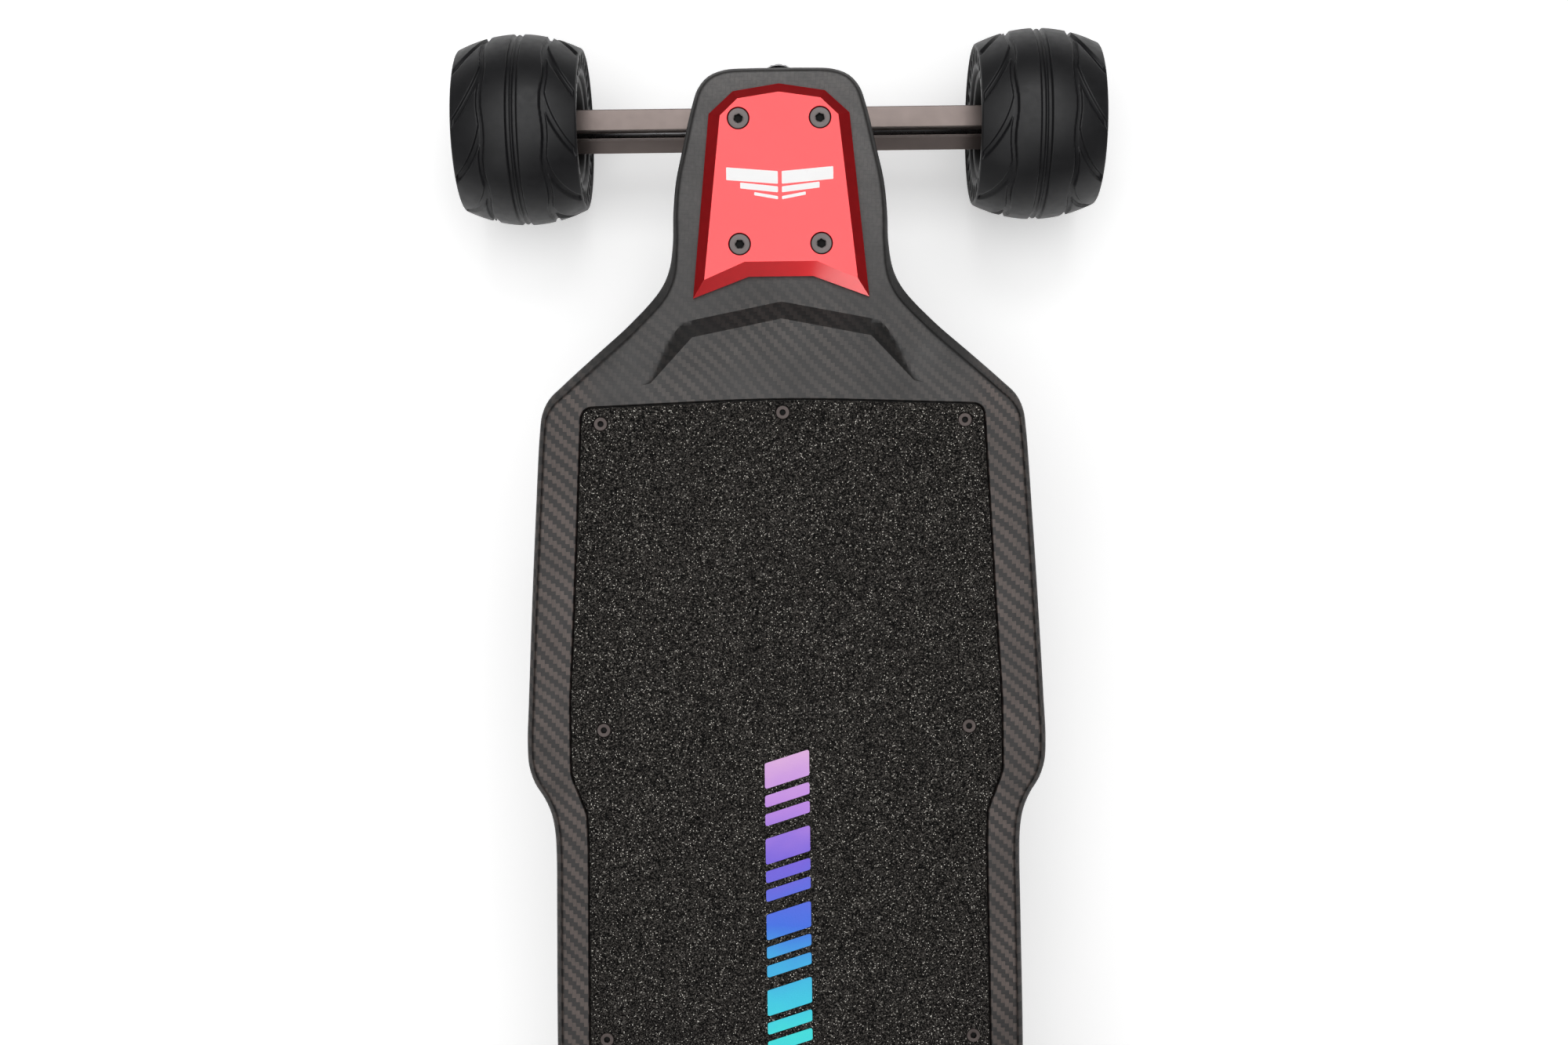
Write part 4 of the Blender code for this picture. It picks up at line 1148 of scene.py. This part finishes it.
def build_bushing(prefix, which, where, s, start, end, bodies, place):
    """A urethane bushing between a kingpin and a ring that tilts on it: a barrel above, a cone below.

    bodies, the kingpin's and the ring's, is not used; start is the upper end, measured down the kingpin.
    """
    bore, outer, middle = KINGPIN_RADIUS + 0.3, BUSHING_RADIUS, (start + end) / 2
    tip = BUSHING_TIP if where == "lower" else outer - 0.3
    waist = min(tip + 1.2, outer)
    profile = [(bore, -start - 0.2), (bore + 0.6, -start), (outer - 2.2, -start), (outer - 0.8, -start - 0.5),
               (outer - 0.25, -start - 1.4), (outer - 0.2, -start - 2.0), (waist - 0.1, -middle + 1.3),
               (waist - 0.6, -middle + 0.5), (waist - 0.7, -middle - 0.5), (waist - 0.3, -middle - 1.3),
               (tip, -end + 2.0), (tip - 0.3, -end + 0.9), (tip - 1.4, -end), (bore + 0.6, -end),
               (bore, -end + 0.2)]
    mesh = lathe(profile, URETHANE, on_kingpin(s), 72, 50)
    made = part(prefix, f"{which}_urethane_{where}", mesh, None, f"{which}_bushing_{where}", place)
    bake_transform(made)


def baseplate_mesh():
    """The plate under the deck: rounded corners, the kingpin seat's web, and slots that lighten it."""
    top = BASE_TOP
    plate = rounded([(-29.8, 386.2), (29.8, 386.2), (29.8, 476.8), (-29.8, 476.8)], 7)
    seat = along_pivots([(-50, -12), (-50, 12), (-33, 12), (-33, -12), (-16, -19.4), (15, -19.4)])
    web = rounded([(390, top - 5), (388.5, 92), *seat, (444, top - 5)], 2.2)
    solids = [prism(plate, top - 6, top, CASTING, upright=False),
              prism(web, -SIDE_PLATE, SIDE_PLATE, CASTING)]
    for sign in (1, -1):
        rib = [(sign * 12, 394), (sign * 27, 394), (sign * 12, 420)]
        solids.append(prism(rib[::sign], top - 9.5, top - 5, CASTING, upright=False))
    cuts = [rod(PIVOT_RADIUS + 0.4, -47, -28, CASTING, on_pivot(0)),
            rod(KINGPIN_RADIUS + 0.3, 15, 40, CASTING, on_kingpin(0))]
    cuts += [rod(2.8, *THROUGH_PLATE, CASTING, place_at(x, y, 0), 32) for x, y in bolt_places()]
    for x in (19.5, -19.5):
        window = rounded([(x - 4.5, 416), (x + 4.5, 416), (x + 4.5, 449), (x - 4.5, 449)], 4.4)
        cuts.append(prism(window, *THROUGH_PLATE, CASTING, upright=False))
    return fused(solids, cuts, CASTING, CAST_EDGE)


def arm_mesh():
    """The link between the two kingpins: a ring, a pivot pin, and the outer kingpin's boss."""
    side = [(-28, -5), (15, -5), (41, 2), (41, 26.6), (15, 26.6), (15, 5), (-17, 5), (-19, 35), (-19, 57),
            (-34, 57), (-34, 20), (-28, 14)]
    solids = [prism(rounded(along_pivots(side), 2.5), -SIDE_PLATE, SIDE_PLATE, CASTING),
              rod(RING_RADIUS, -RING_HALF, RING_HALF, CASTING, on_kingpin(0), 72),
              rod(PIVOT_RADIUS - 0.1, -44.8, -20, CASTING, on_pivot(0), 48)]
    cuts = [rod(KINGPIN_RADIUS + 1.8, -15, 15, CASTING, on_kingpin(0), 48),
            rod(KINGPIN_RADIUS + 0.3, -40, -5, CASTING, on_kingpin(OUTER_S), 48),
            rod(PIVOT_RADIUS + 0.4, -31, -8, CASTING, on_pivot(OUTER_T), 48)]
    pocket = rounded(along_pivots([(19, 7), (36, 9), (36, 21), (19, 21)]), 3.5)
    cuts += [prism(pocket, 9.4, 14, CASTING), prism(pocket, -14, -9.4, CASTING)]
    return fused(solids, cuts, CASTING, CAST_EDGE)


def round_axle(points):
    """The (y, z) of points given from the axle."""
    return [(AXLE_Y + y, AXLE_Z + z) for y, z in points]


def hanger_mesh():
    """The stepped axle beam and its middle, with the ring on the outer kingpin and the pivot pin."""
    beam = rounded(round_axle(BEAM), 0.45, 60)
    side = [(-14.8, 41.2), (26.8, 41.2), (26.8, 50.8), (13.5, 51), (11, 64.5), (-6, 71.8), (-13.8, 60),
            (-14.8, 52)]
    solids = [prism(beam, -BEAM_END, BEAM_END, GUNMETAL),
              prism(rounded(along_pivots(side), 2.5), -HANGER_HALF, HANGER_HALF, GUNMETAL),
              rod(RING_RADIUS, -OUTER_T - RING_HALF, RING_HALF - OUTER_T, GUNMETAL, on_kingpin(OUTER_S), 72),
              rod(PIVOT_RADIUS - 0.1, -28.8, 0, GUNMETAL, on_pivot(OUTER_T), 48)]
    groove = round_axle([(-6.0, -4.5), (-3.3, -4.5), (-3.3, 6), (-6.0, 6)])
    cuts = [rod(KINGPIN_RADIUS + 1.8, -60, -30, GUNMETAL, on_kingpin(OUTER_S), 48),
            prism(groove, 15.5, BEAM_END + 1, GUNMETAL), prism(groove, -BEAM_END - 1, -15.5, GUNMETAL)]
    return fused(solids, cuts, GUNMETAL, 0.4, 28)


def axle_mesh():
    """The axle: shoulders against the bearings, and threads at both ends."""
    reach = WHEEL_X - BEARING_OFFSET - BEARING_HALF - 0.4
    profile = [(0.01, -AXLE_END), (3.3, -AXLE_END), (3.9, -AXLE_END + 0.7)]
    profile += [(3.9 - 0.25 * (step % 2), -AXLE_END + 1.2 + 0.4 * step) for step in range(24)]
    profile += [(3.95, -reach - 7), (3.95, -reach), (5.6, -reach), (5.9, -reach + 0.4)]
    profile += [(radius, -x) for radius, x in reversed(profile)]
    return lathe(profile, STEEL, along_x(0, AXLE_Y, AXLE_Z), 40, 40)


def build_trucks():
    """Both double-kingpin trucks, from shared meshes."""
    baseplate, arm, hanger, axle = baseplate_mesh(), arm_mesh(), hanger_mesh(), axle_mesh()
    kingpins = {"inner": kingpin_mesh(0, -32, 18.3), "outer": kingpin_mesh(OUTER_S, 6, 64.3)}
    nut = nut_mesh(2.4, 4.0, 5.2)
    for prefix, place, sign in (("front", UNMOVED, 1), ("rear", TAIL_END, -1)):
        on_arm, on_hanger = prefix + "_arm", prefix + "_hanger"
        part(prefix, "baseplate_casting", baseplate, "deck", "baseplate", place)
        part(prefix, "arm_casting", arm, on_arm, "truck_arm", place)
        part(prefix, "hanger_beam", hanger, on_hanger, "hanger", place)
        part(prefix, "axle_rod", axle, on_hanger, None, place)
        for which, body in (("inner", "deck"), ("outer", on_arm)):
            part(prefix, which + "_kingpin_bolt", kingpins[which], body, which + "_kingpin", place)
        for which, bodies, s, upper, lower in (
                ("inner", ("deck", on_arm), 0, (-19.1, -5.3), (5.3, 18)),
                ("outer", (on_arm, on_hanger), OUTER_S, (26.9, 40.7), (51.3, 64))):
            build_bushing(prefix, which, "upper", s, *upper, bodies, place)
            build_bushing(prefix, which, "lower", s, *lower, bodies, place)
        for number, (x, y) in enumerate(bolt_places(), start=1):
            part(prefix, f"plate_nut_{number}", nut, "deck", None, along_x(sign * x, sign * y, BASE_TOP - 6))


# ---------------------------------------------------------------- drive

def belt_path(big, small, span, spacing=1.3):
    """Points and outward normals round two pulleys, the big one at y = 0, the small at y = span."""
    lean = math.asin((big - small) / span)
    points, normals, kinds = [], [], []

    def arc(middle, radius, start, sweep):
        steps = max(8, round(radius * sweep / spacing))
        for step in range(steps):
            angle = start + sweep * step / steps
            points.append((middle + radius * math.cos(angle), radius * math.sin(angle)))
            normals.append((math.cos(angle), math.sin(angle)))
            kinds.append(0)

    def straight(start, stop, normal):
        length = math.dist(start, stop)
        steps = round(length / (TOOTH_PITCH / 8))
        for step in range(steps):
            f = step / steps
            points.append((start[0] + (stop[0] - start[0]) * f, start[1] + (stop[1] - start[1]) * f))
            normals.append(normal)
            kinds.append(1 + f * length)

    top = (math.sin(lean), math.cos(lean))
    low = (math.sin(lean), -math.cos(lean))
    arc(0, big, math.pi / 2 - lean, math.pi + 2 * lean)
    straight((big * low[0], big * low[1]), (span + small * low[0], small * low[1]), low)
    arc(span, small, lean - math.pi / 2, math.pi - 2 * lean)
    straight((span + small * top[0], small * top[1]), (big * top[0], big * top[1]), top)
    return np.array(points), np.array(normals), np.array(kinds)


def belt_mesh(side):
    """A ribbed rubber belt whose teeth show on its free runs."""
    inner, normals, run = belt_path(WHEEL_PULLEY_RADIUS + 0.35, MOTOR_PULLEY_RADIUS + 0.35, BELT_CENTRES)
    tooth = (run > 5.0) & ((run % TOOTH_PITCH) < TOOTH_PITCH * 0.5)
    for shift in range(-12, 13):
        tooth &= np.roll(run, shift) >= 0.5
    toothed = inner - normals * 1.9 * tooth[:, None]
    outer = inner + normals * (BELT_THICKNESS - 0.45)
    edge = inner + normals * (BELT_THICKNESS - 0.75)
    low, high = BELT_X
    rings = [np.column_stack([np.full(len(path), side * x), AXLE_Y - path[:, 0], AXLE_Z + path[:, 1]])
             for path, x in ((toothed, low), (edge, low), (outer, low + 0.3), (outer, high - 0.3),
                             (edge, high), (toothed, high), (toothed, low))]
    return welded(Shell().rings(*rings), BELT, 30)


def toothed_pulley(radius, bore, teeth):
    """A flanged pulley turned round Z, with tooth grooves under the belt."""
    steps = teeth * 10
    phase = (np.arange(steps) / 10) % 1.0
    groove = 2.1 * np.clip((0.29 - np.abs(phase - 0.5)) / 0.08, 0, 1)
    low, high = BELT_X[0] - 0.3, BELT_X[1] + 0.3
    edge = radius + 2.2
    flange = [(bore, 1.35), (edge - 0.4, 1.35), (edge, 1.0), (edge, 0.3), (edge - 0.7, 0), (radius, 0)]
    plan = [(r, high + height, 0) for r, height in flange] + [(radius, high, 1), (radius, low, 1)]
    plan += [(r, low - height, 0) for r, height in reversed(flange)]
    around = circle(0, 0, 1, steps)
    rings = [at_height(around * (r - groove * cut)[:, None], height) for r, height, cut in plan]
    return Shell().rings(*rings, rings[0])


def motor_can_mesh(place):
    """The outrunner's can: a vented front, a grooved wall and a boss on the shaft."""
    length = MOTOR_X[1] - MOTOR_X[0]
    wall = [(24.5, 0.0), (26.0, 0.6), (27.4, 2.0), (CAN_RADIUS, 3.2)]
    for start in (8.0, length - 9.0):
        wall += [(CAN_RADIUS, start), (CAN_RADIUS - 0.5, start + 0.3), (CAN_RADIUS - 0.5, start + 1.1),
                 (CAN_RADIUS, start + 1.4)]
    wall += [(CAN_RADIUS, length - 1.5), (27.2, length), (24.6, length), (24.6, CAN_FRONT)]
    levels = [(circle(0, 0, radius, 96), height) for radius, height in wall]
    hub, boss = circle(0, 0, 5.2, 40), circle(0, 0, 9.0, 48)
    turns = [math.tau * number / CAN_VENTS for number in range(CAN_VENTS + 1)]
    vents = [sector(10.5, 21.5, turn + 0.16, following - 0.16, 2.0)
             for turn, following in zip(turns, turns[1:])]
    shell = Shell().wall(*levels)
    shell.flat(levels[0][0], 0.0, [*vents, hub])
    shell.flat(levels[-1][0], CAN_FRONT, [*vents, boss])
    for vent in vents:
        shell.wall((vent, 0.0), (vent, CAN_FRONT))
    shell.wall((hub, 0.0), (hub, 0.8)).flat(hub, 0.8)
    shell.wall((boss, CAN_FRONT), (boss, length - 0.2)).flat(boss, length - 0.2)
    return welded(shell, BLACK_METAL, 30, place)


def windings_mesh(place):
    """The stator's coils, seen through the can's vents."""
    shell = Shell()
    coil = rounded([(-5.4, -3.2), (5.4, -3.2), (5.4, 3.2), (-5.4, 3.2)], 2.4)
    for number in range(COILS):
        out, beside = spoke_axes(math.tau * number / COILS)
        path = coil[:, :1] * out + coil[:, 1:] * beside
        whole, narrow = path + out * COIL_CIRCLE, path * 0.72 + out * COIL_CIRCLE
        shell.wall((whole, 42.0), (whole, 7.4), (narrow, 5.6))
        shell.flat(narrow, 5.6).flat(whole, 42.0)
    return welded(shell, COPPER, 40, place)


def build_drive(prefix, side):
    """One side's motor, mount, pulleys and belt; side is +1 or -1 in the rear truck's own X."""
    hanger, rotor, wheel = "rear_hanger", prefix + "_rotor", f"rear_{prefix}_wheel"
    front = along_x(side * MOTOR_X[0], MOTOR_Y, AXLE_Z, side)
    motor_axis, wheel_axis = (along_x(0, y, AXLE_Z, side) for y in (MOTOR_Y, AXLE_Y))
    part(prefix, "outrunner_can", motor_can_mesh(front), rotor, "motor_can", TAIL_END)
    part(prefix, "stator_windings", windings_mesh(front), hanger, None, TAIL_END)
    shaft = [(0, -2), (SHAFT_RADIUS - 0.05, -2), (SHAFT_RADIUS - 0.05, 76.8), (SHAFT_RADIUS - 0.6, 77.4),
             (0, 77.4)]
    part(prefix, "motor_shaft", lathe(shaft, STEEL, front, 40), rotor, None, TAIL_END)
    low, high = MOTOR_BASE_X
    base = [(SHAFT_RADIUS + 1, low), (25.6, low), (26.9, low + 0.5), (26.9, high - 1.6), (25.8, high),
            (SHAFT_RADIUS + 1, high)]
    part(prefix, "stator_base", lathe(base, BLACK_METAL, motor_axis, 96), hanger, "motor_base", TAIL_END)
    build_mount(prefix, side)
    small = toothed_pulley(MOTOR_PULLEY_RADIUS, SHAFT_RADIUS + 0.2, MOTOR_TEETH)
    part(prefix, "drive_sprocket", welded(small, STEEL, 25, motor_axis), rotor, "motor_pulley", TAIL_END)
    bore, face = 17.6, WHEEL_X - 4.4
    large = toothed_pulley(WHEEL_PULLEY_RADIUS, bore, WHEEL_TEETH)
    large.turned([(bore, 106.5), (24.6, 106.5), (24.6, face - 0.6), (24.0, face), (bore, face)], 96)
    large = welded(large, BLACK_METAL, 25, wheel_axis)
    part(prefix, "wheel_sprocket", large, wheel, "wheel_pulley", TAIL_END)
    part(prefix, "toothed_belt", belt_mesh(side), hanger, "drive_belt", TAIL_END)


def build_mount(prefix, side):
    """The motor's plate, clamped round the beam, with a pocketed arm and its screws."""
    path, _, run = belt_path(22, 30, BELT_CENTRES, 3.0)
    arcs = path[run <= 1.0]
    outline = round_axle(arcs * (-1, 1))
    low, high = sorted((side * MOUNT_X[0], side * MOUNT_X[1]))
    clamp = inset(np.array(round_axle(BEAM)), -0.4)
    slots = [rounded(round_axle([(-53, z - 5.5), (-22, z - 4), (-22, z + 4), (-53, z + 5.5)]), 3.5)
             for z in (12.5, -12.5)]
    cuts = [prism(cut, low - 3, high + 3, BLACK_METAL) for cut in (clamp, *slots)]
    cuts.insert(1, rod(8, 80, 100, BLACK_METAL, along_x(0, MOTOR_Y, AXLE_Z, side), 48))
    plate = fused([prism(outline, low, high, BLACK_METAL)], cuts, BLACK_METAL, 0.5)
    part(prefix, "motor_plate", plate, "rear_hanger", "motor_mount", TAIL_END)
    screw = welded(Shell().turned([(0.01, 0), (3.2, 0), (3.2, 2.4), (2.8, 2.8), (1.9, 2.8), (1.5, 2.5),
                                   (1.5, 1.2), (0.01, 1.2)], 40), DARK_STEEL)
    places = circle(MOTOR_Y, AXLE_Z, MOUNT_SCREW_CIRCLE, MOUNT_SCREWS, math.radians(45))
    for number, (y, z) in enumerate(places, start=1):
        place = TAIL_END @ along_x(side * MOUNT_X[1], y, z, side)
        part(prefix, f"motor_screw_{number}", screw, "rear_hanger", None, place)


# ---------------------------------------------------------------- socket and button

def build_fittings():
    """The charge socket with its centre pin, its rubber cap, and the power button."""
    mouth = along_x(SOCKET_FACE, SOCKET_Y, SOCKET_Z)
    socket = Shell().turned([(4.2, -14.5), (4.2, 1.0), (4.8, 1.5), (8.0, 1.5), (8.5, 1.0), (8.5, 0.15),
                             (7.0, 0.15), (7.0, -18), (0.01, -18), (0.01, -14.5)], 72)
    socket.turned([(0.01, -15), (1.0, -15), (1.0, -2.4), (0.6, -2.0), (0.01, -2.0)], 24)
    piece("charge_socket_shell", welded(socket, CORE_NYLON, place=mouth), "deck", ("charge_socket",))
    cap = lathe([(0, 4.4), (6.6, 4.4), (7.0, 4.1), (7.3, 4.1), (7.7, 4.4), (8.1, 4.3), (8.5, 3.8), (8.5, 2.3),
                 (8.1, 1.9), (3.6, 1.9), (3.0, 1.3), (3.0, -0.1), (2.6, -0.5), (0, -0.5)], SEAL, mouth, 72)
    corners = [(SOCKET_Y + y, SOCKET_Z + z)
               for y, z in ((-3.9, -11.6), (3.9, -11.6), (3.9, -6.6), (-3.9, -6.6))]
    tab = prism(rounded(corners, 1.0), SOCKET_FACE + 2.1, SOCKET_FACE + 4.1, SEAL)
    piece("charge_cap_rubber", fused([cap, tab], [], SEAL, 0.0), "charge_cap", ("charge_cap",))
    button = [(0, 5.8), (8.0, 5.8), (8.0, 4.3), (6.0, 4.3), (6.0, -0.5), (5.6, -0.95), (4.7, -0.95),
              (4.5, -0.6), (4.1, -0.6), (3.9, -0.9), (0, -1.0)]
    piece("power_button_cap", lathe(button, BLACK_METAL, place_at(0, BUTTON_Y, PLATFORM_BOTTOM)),
          "power_button", ("power_button",))


# ---------------------------------------------------------------- setting

def build_room():
    """A room that is bright overhead and dim at the horizon, seen as plain white."""
    world = bpy.data.worlds.new("soft_room")
    bpy.context.scene.world = world
    n = Nodes(world)
    up = n.split(n.new("TexCoord").outputs["Generated"])[2]
    lit = n.tree.nodes["Background"]
    lit.inputs["Color"].default_value = (1, 1, 1, 1)
    n.feed(lit.inputs["Strength"], n.spread(up, 0.6, 0.98, HORIZON, ZENITH, interpolation_type='SMOOTHSTEP'))
    seen = n.new("Background", (1, 1, 1, 1))
    by_camera = n.new("LightPath").outputs["Is Camera Ray"]
    mix = n.new("MixShader", by_camera, lit.outputs[0], seen.outputs[0])
    n.feed(n.tree.nodes["World Output"].inputs["Surface"], mix.outputs[0])


def build_floor():
    """A white floor that glows a little, and towards its edges more, so that it is lost in the room."""
    bpy.ops.mesh.primitive_plane_add(size=FLOOR_SIZE)
    floor = bpy.context.object
    floor.name = "studio_floor"
    n = new_material("white_floor")
    radius = n.new("VectorMath", n.new("TexCoord").outputs["Object"], operation='LENGTH').outputs["Value"]
    seen = n.spread(radius, 0.5, 2.6, FLOOR_WHITE, 0.95)
    lit = n.spread(radius, 0.7, 1.7, FLOOR_GLOW, 0.0)
    by_camera = n.new("LightPath").outputs["Is Camera Ray"]
    n.feed(n.shader.inputs["Emission Strength"], n.spread(by_camera, 0.0, 1.0, lit, seen))
    floor.data.materials.append(n.finish(srgb(250, 250, 250), 0.9, Specular_IOR_Level=0.1,
                                         Emission_Color=(1, 1, 1, 1)))


def softbox(name, place, target, width, height, radiance):
    """A rectangular area light of an even radiance, aimed at a point."""
    data = bpy.data.lights.new(name, 'AREA')
    data.shape = 'RECTANGLE'
    data.size = width
    data.size_y = height
    data.energy = radiance * math.pi * width * height
    light = new_object(name, data)
    light.location = place
    aim = Vector(target) - Vector(place)
    light.rotation_euler = aim.to_track_quat('-Z', 'Y').to_euler()


def build_camera():
    """The camera straight above the board's nose half."""
    data = bpy.data.cameras.new("camera")
    data.lens = CAMERA_LENS
    data.sensor_width = 36.0
    camera = new_object("camera", data)
    camera.location = CAMERA_PLACE
    camera.rotation_euler = (0, 0, math.radians(CAMERA_TURN))
    bpy.context.scene.camera = camera
    bpy.context.scene.view_settings.view_transform = 'Standard'


def dress_nodes():
    """The CAD nodes that are shown as they are, inside the deck."""
    for name, finish in (("lid_seal", SEAL), ("battery_pack", WRAP), ("motor_controller", BLACK_METAL)):
        finish_with(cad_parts[name].data, finish)


build_floor()
build_room()
for box in SOFTBOXES:
    softbox(*box)
build_camera()
build_deck()
build_lid()
build_cover(1, "front_cover_plate", "front_truck_cover")
build_cover(-1, "rear_cover_plate", "rear_truck_cover")
build_graphics()
build_wheels()
build_trucks()
build_drive("left", 1)
build_drive("right", -1)
build_fittings()
dress_nodes()
